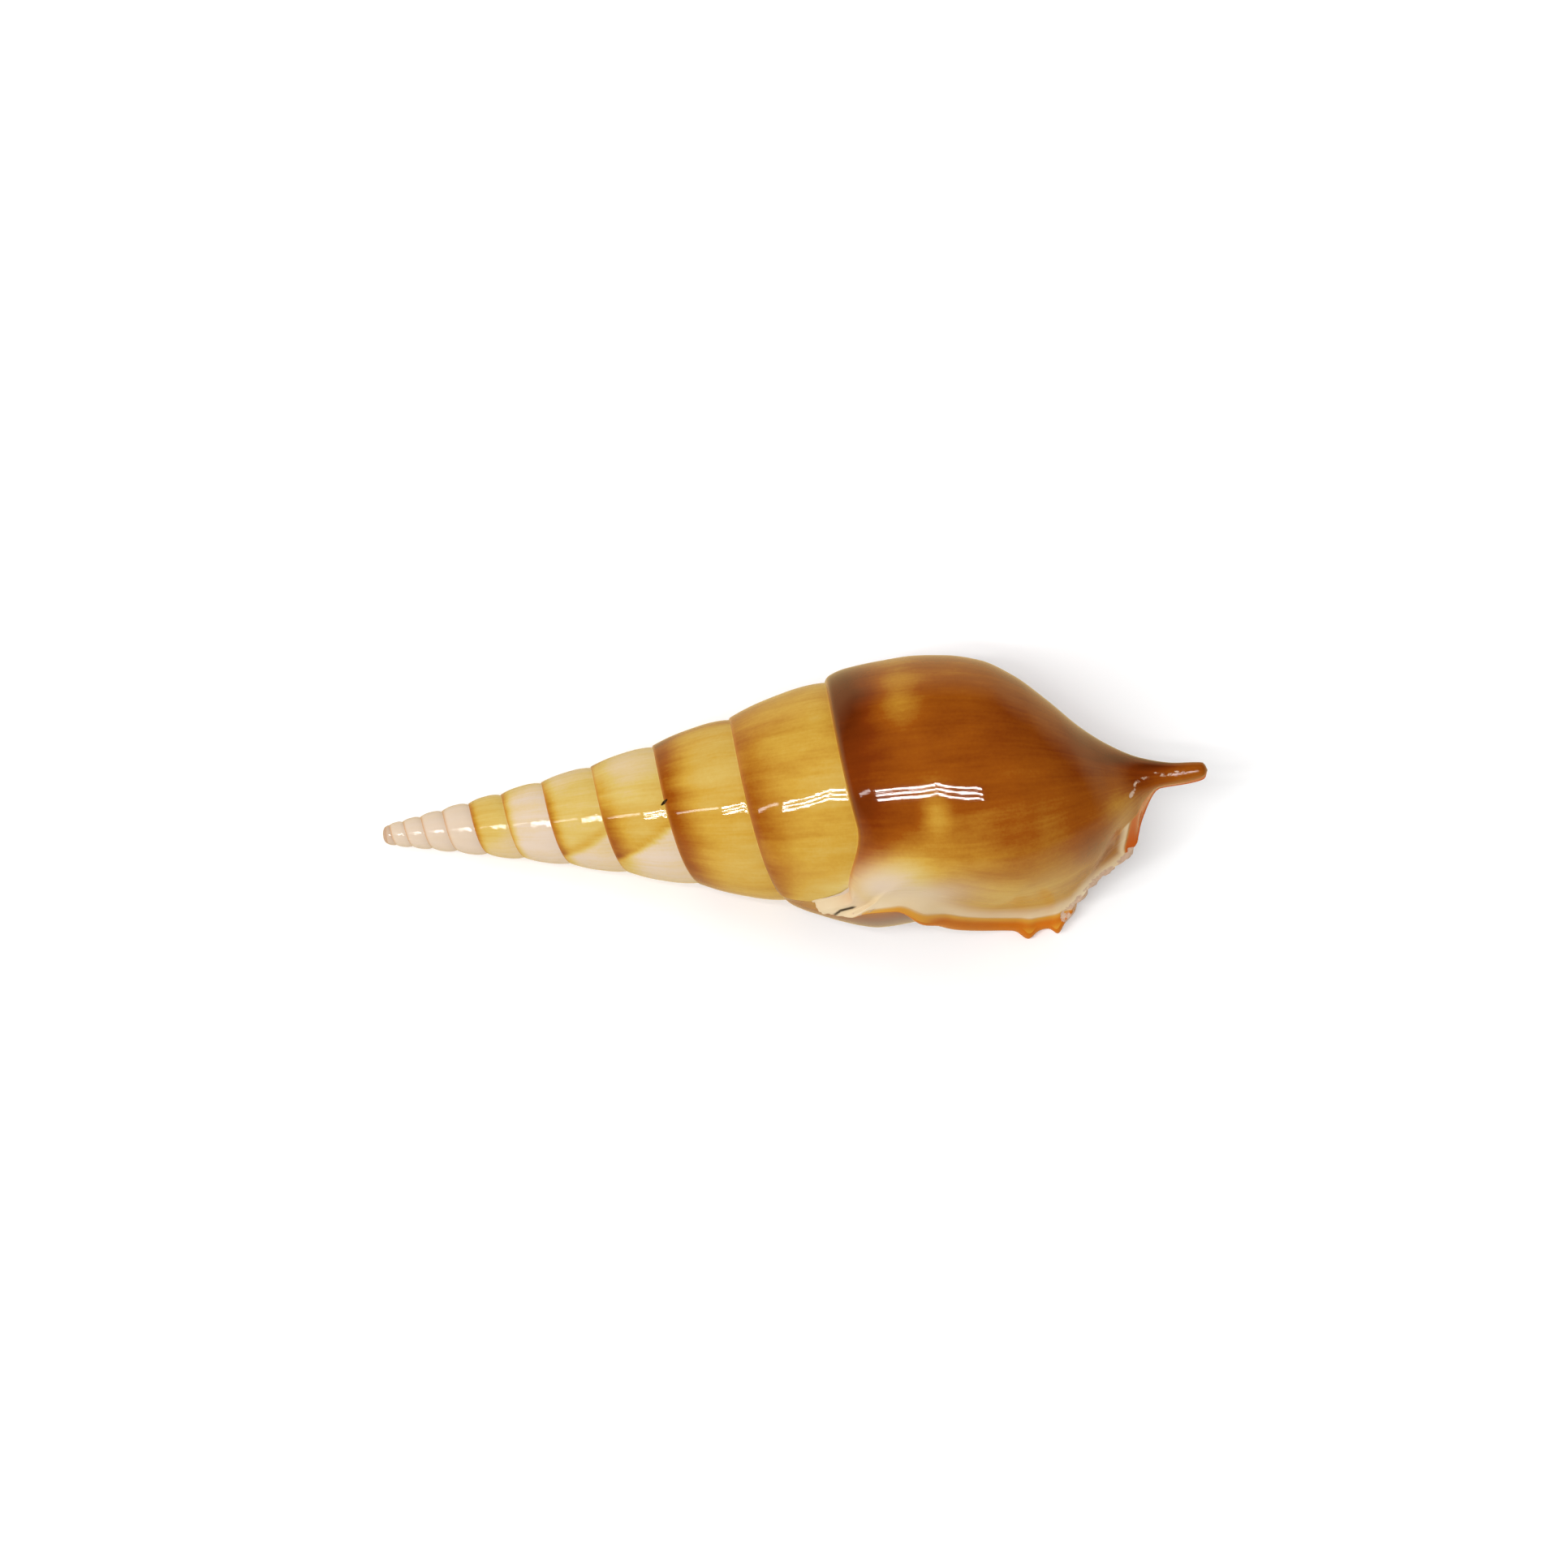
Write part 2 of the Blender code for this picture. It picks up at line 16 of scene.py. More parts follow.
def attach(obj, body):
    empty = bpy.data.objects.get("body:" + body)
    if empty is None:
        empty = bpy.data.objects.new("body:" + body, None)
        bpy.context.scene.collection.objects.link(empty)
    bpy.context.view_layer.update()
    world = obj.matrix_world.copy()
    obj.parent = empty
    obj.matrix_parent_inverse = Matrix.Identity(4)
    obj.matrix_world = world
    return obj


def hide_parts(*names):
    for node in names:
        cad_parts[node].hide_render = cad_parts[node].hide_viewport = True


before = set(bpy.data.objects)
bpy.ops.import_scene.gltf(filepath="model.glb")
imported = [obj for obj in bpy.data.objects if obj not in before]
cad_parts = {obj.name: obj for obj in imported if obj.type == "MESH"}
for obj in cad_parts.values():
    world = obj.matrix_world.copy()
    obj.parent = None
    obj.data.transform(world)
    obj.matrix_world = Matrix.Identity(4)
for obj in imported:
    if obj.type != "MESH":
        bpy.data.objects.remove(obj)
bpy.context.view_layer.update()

MM = 0.001
IMAGE_PIXELS = 1932
# Keeps a division away from nought
TINY = 1e-6
# Steps over which a tangent is measured
STEP = 0.004
WIDE_STEP = 0.01
# Stands for a distance that is too large to matter
FAR = 99.0

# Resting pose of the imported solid
PITCH_DEG = 13.726
ROLL_DEG = 12.242

# Camera: how the shell lies in the photograph
MM_PER_PIXEL = 0.142838
VIEW_YAW_DEG = 7.0
VIEW_TURN_DEG = 4.8989
VIEW_CENTRE = (71.06, 2.98)
LENS_MM = 300.0
SENSOR_MM = 36.0
CLIP_END = 50.0

# Share of a colour seen on screen that the surface itself has, under the lights of this scene
PAINT = 0.85

# Tones of the whorls as they look on screen, 0 to 255, from pale to dark
TONES = (
    (0.00, (230, 208, 186)),
    (0.12, (228, 200, 152)),
    (0.25, (222, 190, 105)),
    (0.40, (212, 165, 64)),
    (0.52, (190, 130, 40)),
    (0.66, (158, 82, 15)),
    (0.82, (126, 52, 8)),
    (1.00, (96, 36, 5)),
)
# Other colours; a pair is the colour's range from cloud to cloud
PINK = (228, 206, 184)
TIP = (184, 142, 114)
SEAM_LINE = (206, 132, 54)
CREAM = ((230, 196, 138), (248, 230, 200))
GOLDEN_RIM = ((210, 130, 28), (240, 184, 70))
ORANGE_RIM = (206, 88, 4)
INSIDE = ((232, 214, 192), (212, 176, 140))
CHALK = ((196, 154, 124), (236, 206, 178))
DIRT = (44, 28, 14)
# How much of its colour a mark gives
PINK_SHARE = 0.80
SEAM_SHARE = 0.6
TIP_SHARE = 0.7
TIP_TURNS = (-9.2, -10.2)

# Growth lines: cycles per turn and per millimetre across, seed, detail and roughness
GROWTH_LINES = {
    "streak": (24.0, 0.035, 0.0, 5.0, 0.6),
    "fine": (150.0, 0.08, 3.0, 3.0, 0.6),
    "ridge": (190.0, 0.012, 7.0, 2.0, 0.5),
    "crowded": (260.0, 0.05, 11.0, 4.0, 0.6),
}
# Patches: scale, detail and roughness
PATCHES = {
    "cloud": (95.0, 4.0, 0.55),
    "grain": (1800.0, 2.0, 0.6),
    "flakes": (520.0, 5.0, 0.65),
}
# How far each of them changes the tone
TONE_CHANGES = {"streak": 0.32, "fine": 0.12, "crowded": 0.24, "cloud": 0.22, "grain": 0.07}
# Turn numbers over which the skin passes into the lip, and how much of the streaks is left there
LATE_TURNS = (1.30, 1.40)
STREAK_LATE = 0.2
# How ragged the worn places are
FLAKE_SIZE = 1.6
FLAKE_START = 1.45
FLAKE_MARK = 0.9
FLAKE_EDGE = 0.12
SPECK_RAGGED = 0.7
SPECK_EDGE = (1.45, 1.25)
# Relief
HEIGHTS = {"fine": 0.04, "streak": 0.20, "ridge": 0.10}
WORN_DEPTH = 1.2
BUMP_STRENGTH = 0.45
BUMP_DISTANCE = 0.0002
# Roughness: of the glaze, added by fine lines, near the lip, on its rim, and added where worn
ROUGH = 0.03
ROUGH_FINE = 0.04
ROUGH_LATE = 0.26
ROUGH_RIM = 0.06
ROUGH_WORN = 0.40
# Gloss of the glaze, and near the lip
GLOSS = {"Specular IOR Level": (0.50, 0.20), "Coat Weight": (0.30, 0.06)}
COAT_ROUGHNESS = 0.03

# Lights
WORLD_LIGHT = 0.58
HAZE_LIGHT = 0.70
HAZE_COLOUR = (1.0, 0.74, 0.36, 1.0)
KEY_WATTS = 36.0
STRIP_WATTS = 3.0
FILL_WATTS = 8.0
# Their places to the right, up and toward the camera, sizes, and tilts in degrees
KEY_LIFTS = (-0.18, 0.0, 0.18)
KEYS = {
    "key_left": ((-1.22, -0.17, 2.4), (1.00, 0.05), 22.0),
    "key_right": ((-0.28, -0.02, 2.4), (0.90, 0.05), -9.0),
}
STRIP = ((-2.2, -0.36, 1.9), (1.1, 0.12), 20.0)
FILL = ((-0.8, 1.2, 1.6), (1.2, 1.2), 0.0)
# Below the horizon the haze is full, above it nearly gone
HAZE_FROM = 0.25
HAZE_FULL = -0.15
HAZE_ABOVE = 0.05

# Floor
FLOOR_REACH = 4.0
FLOOR_COLOUR = (0.96, 0.96, 0.96, 1.0)
FLOOR_ROUGHNESS = 0.9
FLOOR_GLOW = 0.08
WHITE = (1.0, 1.0, 1.0, 1.0)

# Growth of the spiral: edge position along the axis at a turn number
POLE_X = -12.8
POLE_SPAN = 75.6
GROWTH = 0.2055
GROWTH_RISE = 0.0018
WHORL_GROWTH = 0.2034

# Spire radius as a function of the place along the axis
EDGE_RADIUS_0 = 1.434
EDGE_RADIUS_1 = 0.1578
EDGE_RADIUS_2 = 0.000922
WHORL_BULGE = 0.062
EARLY_BULGE = 0.9
EARLY_TURNS = (-6.5, -2.5)
BULGE_POWER = 2.6

# Step where a whorl laps over the one before it, as shares of the whorl's width
LAP_HEIGHT = 0.016
LAP_RISE = 0.007
LAP_FADE = 0.16
# Stretch of the body whorl's section over which that step ends
LAP_END = (0.2, 0.4)

# Tip of the spire, worn round
FIRST_TURN = -10.574
TIP_RING_X = 0.75
TIP_DECAY_TURNS = 0.4

# Body whorl: stations along its section at turn number 1, as fractions, and their radii
SECTION_AT = (0, 0.015, 0.06, 0.15, 0.24, 0.33, 0.42, 0.50, 0.58, 0.66, 0.74, 0.82, 0.90, 0.965, 0.99, 1)
SECTION_R = (19.7, 20.7, 21.9, 22.9, 23.4, 23.0, 21.6, 18.6, 14.1, 9.3, 5.9, 3.5, 2.15, 1.65, 1.35, 0)
BODY_X0 = 80.2
CANAL_TIP = (146.0, -0.9, -0.6)
CANAL_Y = -1.2
CANAL_Z = -1.0
# Stretch of the section over which the canal stops growing with the turn number
HELD_AT = (0.55, 0.90)
# Stretch of the section that is drawn to the seam at its start
PULLED_SHARE = 0.30

# The last edge leaves the spiral and steps back up the spire before the lip
EDGE_DIPS = ((105.0, 146.0, 5.5), (142.0, 154.0, 7.7))

# Thick glaze on the belly beside the opening
GLAZE = 2.5
GLAZE_TURNS = (0.43, 0.52, 0.58, 0.74)
GLAZE_PLACES = (70.0, 87.0, 93.0, 112.0)

# Lip: its edge at stations from the flap on the spire to the canal tip
INNER_TURN = 0.426
CANAL_INNER_TURN = 0.86
JOIN_TURN = 1.33
LIP = (
    (0.00, 75.8, -16.5, 8.3),
    (0.03, 76.8, -18.6, 6.0),
    (0.08, 80.3, -20.0, 6.4),
    (0.15, 85.1, -19.5, 9.4),
    (0.22, 90.2, -19.8, 8.6),
    (0.29, 95.0, -22.4, 1.5),
    (0.36, 100.1, -24.3, -9.0),
    (0.43, 105.8, -25.1, -17.2),
    (0.50, 111.9, -25.6, -21.0),
    (0.57, 116.7, -24.7, -20.5),
    (0.66, 123.5, -19.5, -15.8),
    (0.74, 130.7, -14.6, -11.0),
    (0.80, 133.4, -8.2, -7.0),
    (0.86, 137.2, -3.4, -3.2),
    (0.93, 142.2, -3.0, -2.1),
    (0.975, 145.2, -2.4, -1.6),
    (1.00, 146.0, -0.9, -0.6),
)
# Teeth: place along the axis, half width and height
LIP_TEETH = ((110.3, 1.15, 1.5), (115.2, 1.05, 1.5))
# Thickness of the lip's edge at stations along it
RIM = (
    (0.00, 0.0),
    (0.06, 0.5),
    (0.16, 1.2),
    (0.26, 1.6),
    (0.36, 2.6),
    (0.52, 2.8),
    (0.60, 1.7),
    (0.74, 1.5),
    (0.82, 1.0),
    (0.95, 0.7),
    (1.00, 0.0),
)
FLARE = 13.0
# How far the flap and the rim stay above the older whorl, how softly, and up to which place
FLAP_LIFT = 0.9
RIM_LIFT = 1.4
FLAP_SOFTNESS = 0.25
FLAP_END_X = 99.0
# How quickly teeth and chips fade away from the edge, as powers
TOOTH_REACH = 14
CHIP_REACH = 30

# Chipped stretch of the lip, as fractions along it, and the torn end of the flap
CHIPS_AT = (0.585, 0.605, 0.735, 0.765)
CHIP_DEPTH = 1.3
CHIP_COUNT = 26
FINE_CHIP_COUNT = 60
CHIP_SEED = 11
CHIP_DIRECTION = np.array((-0.60, 0.80, 0.0))
TORN_AT = (0.0, 0.006, 0.05, 0.10)
TORN_DEPTH = 0.6
TORN_COUNT = 22
TORN_DIRECTION = np.array((0.7, 0.7, 0.0))

# Cavity: walls, where it ends, and the smallest gap that it takes
WALL = 1.5
INNER_WALL = 0.7
DEEP_TURN = 0.62
CLEAR_GAP = 1.4

# Grid sizes
REGULAR_COLUMNS = 80
LIP_COLUMNS = 40
SPIRE_ROWS = 22
BODY_ROWS = 200
RIM_STEPS = 10
LIP_RINGS = 16
TUBE_RINGS = 12
DOME_RINGS = 5
CLOSING_SHARES = (0.7, 0.35, 0.0)
# Points closer together than this are welded, and shorter edges are taken out, in millimetres
WELD_DISTANCE = 2e-4
SHORT_EDGE = 1e-4

# How dark the whorls are, from cream (0) through gold (0.4) to dark brown (1)
BASE_TONE = (
    (-10.6, 0.10),
    (-5.20, 0.05),
    (-5.02, 0.10),
    (-4.95, 0.28),
    (-4.70, 0.26),
    (-4.55, 0.14),
    (-4.35, 0.10),
    (-4.05, 0.20),
    (-3.92, 0.22),
    (-3.80, 0.08),
    (-3.55, 0.04),
    (-3.10, 0.06),
    (-2.92, 0.10),
    (-2.80, 0.24),
    (-2.64, 0.26),
    (-2.61, 0.36),
    (-2.58, 0.06),
    (-2.20, 0.08),
    (-2.02, 0.20),
    (-1.97, 0.40),
    (-1.94, 0.12),
    (-1.80, 0.17),
    (-1.72, 0.27),
    (-1.64, 0.33),
    (-1.62, 0.40),
    (-1.60, 0.05),
    (-1.30, 0.12),
    (-1.02, 0.46),
    (-0.955, 0.54),
    (-0.93, 0.38),
    (-0.75, 0.34),
    (-0.60, 0.38),
    (-0.30, 0.40),
    (0.05, 0.42),
    (0.25, 0.38),
    (0.42, 0.42),
    (0.60, 0.58),
    (0.90, 0.66),
    (1.05, 0.68),
    (1.25, 0.66),
    (1.34, 0.62),
    (1.40, 0.58),
    (1.43, 0.48),
)
# Strength of the dark band behind each seam
BAND_TONE = (
    (-10.6, 0.04),
    (-5.20, 0.10),
    (-4.90, 0.26),
    (-4.30, 0.30),
    (-3.50, 0.30),
    (-3.00, 0.28),
    (-2.60, 0.36),
    (-2.10, 0.34),
    (-1.90, 0.22),
    (-1.62, 0.36),
    (-1.50, 0.20),
    (-1.00, 0.34),
    (-0.50, 0.32),
    (0.00, 0.16),
    (0.30, 0.24),
    (0.50, 0.30),
    (1.00, 0.28),
    (1.25, 0.18),
    (1.34, 0.06),
    (1.37, 0.0),
    (1.43, 0.0),
)
# Width of that band, as a share of the whorl
BAND_WIDTH = (
    (-10.6, 0.13),
    (-4.00, 0.14),
    (-2.50, 0.17),
    (-1.90, 0.24),
    (-1.00, 0.30),
    (0.00, 0.30),
    (0.60, 0.36),
    (1.40, 0.36),
)
# Thin line of lit glaze on the edge of each whorl, as a share of the whorl
SEAM_WIDTH = (
    (-10.6, 0.08),
    (-5.00, 0.06),
    (-2.00, 0.03),
    (0.00, 0.022),
    (1.40, 0.014),
)
# How the growth lines of the spire slant across a whorl, in turns
GROWTH_SLANT = 0.10
# Lighter and darker places on the side that the picture shows: place, half sizes, change of tone
SPOTS = (
    (91.8, 15.5, 3.6, 5.0, -0.16),
    (90.4, 22.5, 4.0, 3.0, -0.10),
    (96.8, -4.4, 2.6, 4.2, -0.26),
    (98.2, -12.5, 7.0, 4.0, -0.10),
    (110.0, -16.5, 13.0, 4.5, -0.06),
    (110.0, -20.8, 11.0, 2.8, -0.20),
    (131.0, 2.4, 5.0, 1.3, 0.22),
    (136.5, 0.8, 4.0, 0.9, 0.26),
    (133.0, -1.0, 3.0, 2.0, 0.10),
    (124.0, 6.0, 9.0, 9.0, 0.04),
    (104.0, 8.0, 12.0, 10.0, 0.03),
    (89.5, -13.0, 5.5, 3.6, -0.24),
    (88.0, -17.2, 8.0, 3.2, -0.42),
    (83.0, 16.0, 3.0, 7.0, 0.14),
    (84.5, -2.0, 2.6, 6.0, 0.06),
    (112.0, 8.0, 9.0, 8.0, 0.07),
    (125.0, 5.0, 7.0, 6.0, 0.18),
    (123.5, -12.5, 4.0, 3.5, 0.12),
    (129.5, -10.0, 3.0, 4.0, 0.06),
    (129.0, -6.0, 2.6, 5.0, -0.14),
)
# Pink places on that side: place and half sizes
PINK_SPOTS = ((86.0, -16.0, 5.0, 3.2), (93.0, -18.6, 8.0, 2.2), (80.0, -18.6, 4.0, 3.2))
# Glaze on the belly: how much it is darkened, as painted shade for the shadow under the lip's rim, and how
# pink it is, which is its own colour
BELLY_PAINTED_SHADE = 0.80
BELLY_PINK = 0.55
# Line along the canal where the surface is rubbed off, its width and how much of it is gone
CANAL_LINE = ((131.2, -4.3), (132.4, -1.9), (135.5, -0.9), (140.9, -1.1))
CANAL_LINE_WIDTH = 0.9
CANAL_WEAR = 0.76
# Crack across the flap, and the chipped place below it
CRACK = ((77.9, -20.6), (79.0, -19.9), (81.4, -19.5))
CHIP = ((80.6, -20.7), (82.4, -21.2))
CHIP_WEAR = 0.75
# Small dark speck on the spire: place, half sizes, turn about the vertical
SPECK_AT = (51.85, 1.6, 12.0)
SPECK_SIZE = (0.75, 0.26, 1.2)
SPECK_TURN_DEG = 40.0

# Width of the coloured rim and of the cream band beside it, in millimetres, at stations along the lip
RIM_WIDTH = (
    (0.00, 0.0),
    (0.11, 0.0),
    (0.15, 1.8),
    (0.30, 2.0),
    (0.56, 1.9),
    (0.60, 0.25),
    (0.74, 0.25),
    (0.765, 1.8),
    (0.90, 1.2),
    (1.00, 0.8),
)
CREAM_WIDTH = (
    (0.00, 9.0),
    (0.09, 8.0),
    (0.18, 6.0),
    (0.30, 7.0),
    (0.56, 7.0),
    (0.62, 2.2),
    (0.74, 2.0),
    (0.77, 3.2),
    (0.84, 2.6),
    (0.90, 1.6),
    (0.94, 0.6),
    (1.00, 0.3),
)
# Broken front of the lip: its stretch, and how much of the surface is gone
FRONT_AT = (0.58, 0.74)
FRONT_WEAR = 0.85
# Bright inner edge of the lip that turns up beside the canal: its stretch, places along x and widths
UPTURN_AT = (0.75, 1.0)
UPTURN_PLACES = (128.0, 133.0, 137.0, 146.0)
UPTURN_WIDTHS = (2.0, 2.2, 1.5, 0.8)
# Beyond this share of the way to the lip, a point is near enough for the marks of its edge
LIP_SHARE = 0.4
# Places taken along a stretch of the lip's edge
LIP_PLACES = 24
# Tone of the spire's tip and of the lip's rounded edge, and how red that edge gets inwards
TIP_TONE = 0.10
RIM_TONE = 0.25
RIM_RED = 0.6
# Turn number that the markings of the inside start from
LAST_TURN = 1.43


def smooth(value, low, high):
    """A step that starts and ends softly, 0 below low and 1 above high."""
    t = np.clip((np.asarray(value, float) - low) / (high - low), 0.0, 1.0)
    return t * t * (3.0 - 2.0 * t)


def within(distance, inner, outer):
    """1 closer than the inner distance, fading to 0 at the outer one."""
    return 1.0 - smooth(distance, inner, outer)


def plateau(value, start, full, falling, end):
    """1 in the middle of a stretch, fading softly to 0 at its start and its end."""
    return smooth(value, start, full) * within(value, falling, end)


def hermite(u, start, leave, end, arrive):
    """Cubic curve from start to end with the tangents leave and arrive, at the fractions u."""
    u2 = u * u
    u3 = u2 * u
    first = (2 * u3 - 3 * u2 + 1) * start + (u3 - 2 * u2 + u) * leave
    return first + (3 * u2 - 2 * u3) * end + (u3 - u2) * arrive


def curve(at, values, t):
    """A smooth curve through stations, without overshoot."""
    at = np.asarray(at, float)
    values = np.asarray(values, float)
    step = np.diff(at)
    slope = np.diff(values) / step
    tangent = np.zeros(len(at))
    tangent[0] = slope[0]
    tangent[-1] = slope[-1]
    same = slope[1:] * slope[:-1] > 0.0
    mean = 2.0 * slope[1:] * slope[:-1] / np.where(same, slope[1:] + slope[:-1], 1.0)
    tangent[1:-1] = np.where(same, mean, 0.0)
    t = np.clip(np.asarray(t, float), at[0], at[-1])
    i = np.clip(np.searchsorted(at, t, side="right") - 1, 0, len(step) - 1)
    u = (t - at[i]) / step[i]
    return hermite(u, values[i], step[i] * tangent[i], values[i + 1], step[i] * tangent[i + 1])


def through(stations, column, t):
    """One column of a table of stations, at the fractions t."""
    return curve([row[0] for row in stations], [row[column] for row in stations], t)


def inverse(place, x, steps=30):
    """The fraction between 0 and 1 where a rising function has the value x."""
    low = np.zeros(np.shape(x))
    high = np.ones(np.shape(x))
    for _ in range(steps):
        middle = 0.5 * (low + high)
        below = place(middle) < x
        low = np.where(below, middle, low)
        high = np.where(below, high, middle)
    return 0.5 * (low + high)


def spiral_x(turn):
    """Place along the axis of the seam between two whorls."""
    turn = np.asarray(turn, float)
    x = POLE_X + POLE_SPAN * np.exp(GROWTH * turn + GROWTH_RISE * turn * turn)
    start = FIRST_TURN + 1.0
    at_start = POLE_X + POLE_SPAN * math.exp(GROWTH * start + GROWTH_RISE * start * start)
    fade = np.exp(-np.maximum(turn - start, 0.0) / TIP_DECAY_TURNS)
    return np.where(turn <= start, TIP_RING_X, x - (at_start - TIP_RING_X) * fade)


def edge_x(turn):
    """The seam with the last part stepped back before the lip."""
    angle = (np.asarray(turn, float) - 1.0) * 360.0
    dip = sum(depth * smooth(angle, low, high) for low, high, depth in EDGE_DIPS)
    return spiral_x(turn) - dip


def glaze(turn, x):
    """Thickness of the glaze laid over the older whorl beside the opening."""
    return GLAZE * plateau(turn, *GLAZE_TURNS) * plateau(x, *GLAZE_PLACES)


def spire_radius(turn, x):
    """Radius of a spire whorl: straight between its two seams, plus a soft bulge."""
    first = spiral_x(turn)
    width = np.maximum(spiral_x(turn + 1.0) - first, TINY)
    s = np.clip((x - first) / width, 0.0, 1.0)
    straight = EDGE_RADIUS_0 + EDGE_RADIUS_1 * x + EDGE_RADIUS_2 * x * x
    bulge = WHORL_BULGE * (1.0 + EARLY_BULGE * (1.0 - smooth(turn, *EARLY_TURNS)))
    return straight + bulge * width * (1.0 - np.abs(2.0 * s - 1.0) ** BULGE_POWER)


def growth(turn):
    """How large the body whorl is at a turn number, 1 at turn number 1."""
    return np.exp(WHORL_GROWTH * (np.asarray(turn, float) - 1.0))


def body_x(turn, t):
    """Place along the axis of a point on the body whorl."""
    x_one = BODY_X0 + (CANAL_TIP[0] - BODY_X0) * t
    grown = POLE_X + (x_one - POLE_X) * growth(turn)
    return grown + (x_one - grown) * smooth(t, *HELD_AT)


def plain_body(turn, t):
    """Place and radius on the body whorl before its start is drawn to the seam."""
    x = body_x(turn, t)
    held = smooth(t, *HELD_AT)
    radius = curve(SECTION_AT, SECTION_R, t) * (1.0 + (growth(turn) - 1.0) * (1.0 - held))
    return x, radius + glaze(turn, x)


def older_radius(turn, x):
    """Outer skin of an older whorl at a place along the axis, also where a later one covers it."""
    turn, x = np.broadcast_arrays(np.asarray(turn, float), np.asarray(x, float))
    return plain_body(turn, inverse(lambda t: body_x(turn, t), x))[1]


def whorl_radius(turn, x):
    """Spire whorl that passes into the body whorl over its last stretch."""
    share = smooth(turn, 0.02, INNER_TURN - 0.02)
    radius = spire_radius(turn, x)
    return radius + (older_radius(turn, x) - radius) * share


def seam(turn):
    """Place and radius of the seam that starts at this turn number."""
    x = edge_x(turn)
    return x, whorl_radius(np.asarray(turn, float) - 1.0, x)


def lap(turn, distance):
    """How far a whorl stands out over the older one, at a distance from the seam."""
    width = spiral_x(turn + 1.0) - spiral_x(turn)
    share = np.maximum(distance, 0.0) / np.maximum(width, TINY)
    return LAP_HEIGHT * width * (1.0 - np.exp(-((share / LAP_RISE) ** 2))) * np.exp(-share / LAP_FADE)


def centre(t):
    """Centre of the section: on the axis, then moved aside along the canal."""
    aside = smooth(t, 0.50, 0.84)
    last = smooth(t, 0.90, 1.0)
    y = CANAL_Y * aside + (CANAL_TIP[1] - CANAL_Y) * last
    z = CANAL_Z * aside + (CANAL_TIP[2] - CANAL_Z) * last
    return y, z


def point(turn, x, radius, y=0.0, z=0.0):
    """Point at a turn number, a place along the axis and a radius about the centre y, z."""
    angle = 2.0 * math.pi * np.asarray(turn, float)
    return np.stack(np.broadcast_arrays(x, y + radius * np.cos(angle), z + radius * np.sin(angle)), -1)


def seam_pull(t):
    """How much of the way the start of the section is drawn to the seam."""
    return np.clip(1.0 - t / PULLED_SHARE, 0.0, 1.0) ** 2


def body_section(turn, t):
    """Place and radius on the body whorl, which starts at the seam."""
    x, radius = plain_body(turn, t)
    seam_x, seam_r = seam(turn)
    x_0, r_0 = plain_body(turn, np.zeros_like(t))
    pull = seam_pull(t)
    return x + (seam_x - x_0) * pull, radius + (seam_r - r_0) * pull


def body_point(turn, t):
    """Point on the body whorl."""
    x, radius = body_section(turn, t)
    y, z = centre(t)
    return point(turn, x, radius, y, z)


def rim_thickness(t):
    """Thickness of the lip's edge, in millimetres."""
    return through(RIM, 1, t)


def lip_line(t):
    """Outer edge of the lip, without its teeth and chips."""
    return np.stack([through(LIP, column, t) for column in (1, 2, 3)], -1)


def teeth(t):
    """How far the two blunt teeth stand out from the edge of the lip."""
    x = through(LIP, 1, t)
    out = np.zeros(x.shape + (3,))
    for at, half_width, height in LIP_TEETH:
        out[..., 1] -= height * np.exp(-(((x - at) / half_width) ** 2))
    return out


def chips(t):
    """Broken notches along the front of the lip and the torn end of its flap."""
    draw = np.random.default_rng(CHIP_SEED)
    first, last = CHIPS_AT[0], CHIPS_AT[-1]
    places = np.sort(draw.uniform(first, last, CHIP_COUNT))
    depths = draw.uniform(0.1, 1.0, CHIP_COUNT) ** 1.5
    fine_at = np.linspace(first, last, FINE_CHIP_COUNT)
    fine = np.interp(t, fine_at, draw.uniform(0.0, 0.25, FINE_CHIP_COUNT))
    depth = CHIP_DEPTH * plateau(t, *CHIPS_AT) * (0.25 + 0.6 * np.interp(t, places, depths) + fine)
    torn_at = np.linspace(TORN_AT[0], TORN_AT[-1], TORN_COUNT)
    ragged = np.interp(t, torn_at, draw.uniform(0.0, 1.0, TORN_COUNT))
    torn = TORN_DEPTH * plateau(t, *TORN_AT) * ragged
    return depth[..., None] * CHIP_DIRECTION + torn[..., None] * TORN_DIRECTION


def flare_direction(t):
    """Direction in which the skin arrives at the lip."""
    low = smooth(t, 0.22, 0.36)
    canal = smooth(t, 0.70, 0.86)
    y = -0.60 - 0.37 * low + 0.50 * canal
    z = -0.80 + 0.55 * low - 0.60 * canal
    size = np.sqrt(y * y + z * z)
    return np.stack([np.zeros_like(t), y / size, z / size], -1)


def lifted(points, t):
    """Keeps the last whorl a little above the older one that it lies on."""
    points = points.copy()
    near = (points[..., 0] < FLAP_END_X) & (t > TINY)
    x, y, z = points[near].T
    radius = np.hypot(y, z)
    turn = (np.arctan2(z, y) / (2.0 * math.pi)) % 1.0
    at = np.broadcast_to(t, near.shape)[near]
    lift = FLAP_LIFT * smooth(at, 0.0, 0.03) + RIM_LIFT * smooth(at, 0.07, 0.13)
    under = whorl_radius(turn, x) + lift
    gap = (radius - under) / FLAP_SOFTNESS
    raised = under + FLAP_SOFTNESS * np.logaddexp(0.0, gap)
    share = smooth(x, FLAP_END_X - 6.0, FLAP_END_X)
    scale = (raised + (radius - raised) * share) / radius
    points[near] = np.stack([x, y * scale, z * scale], -1)
    return points


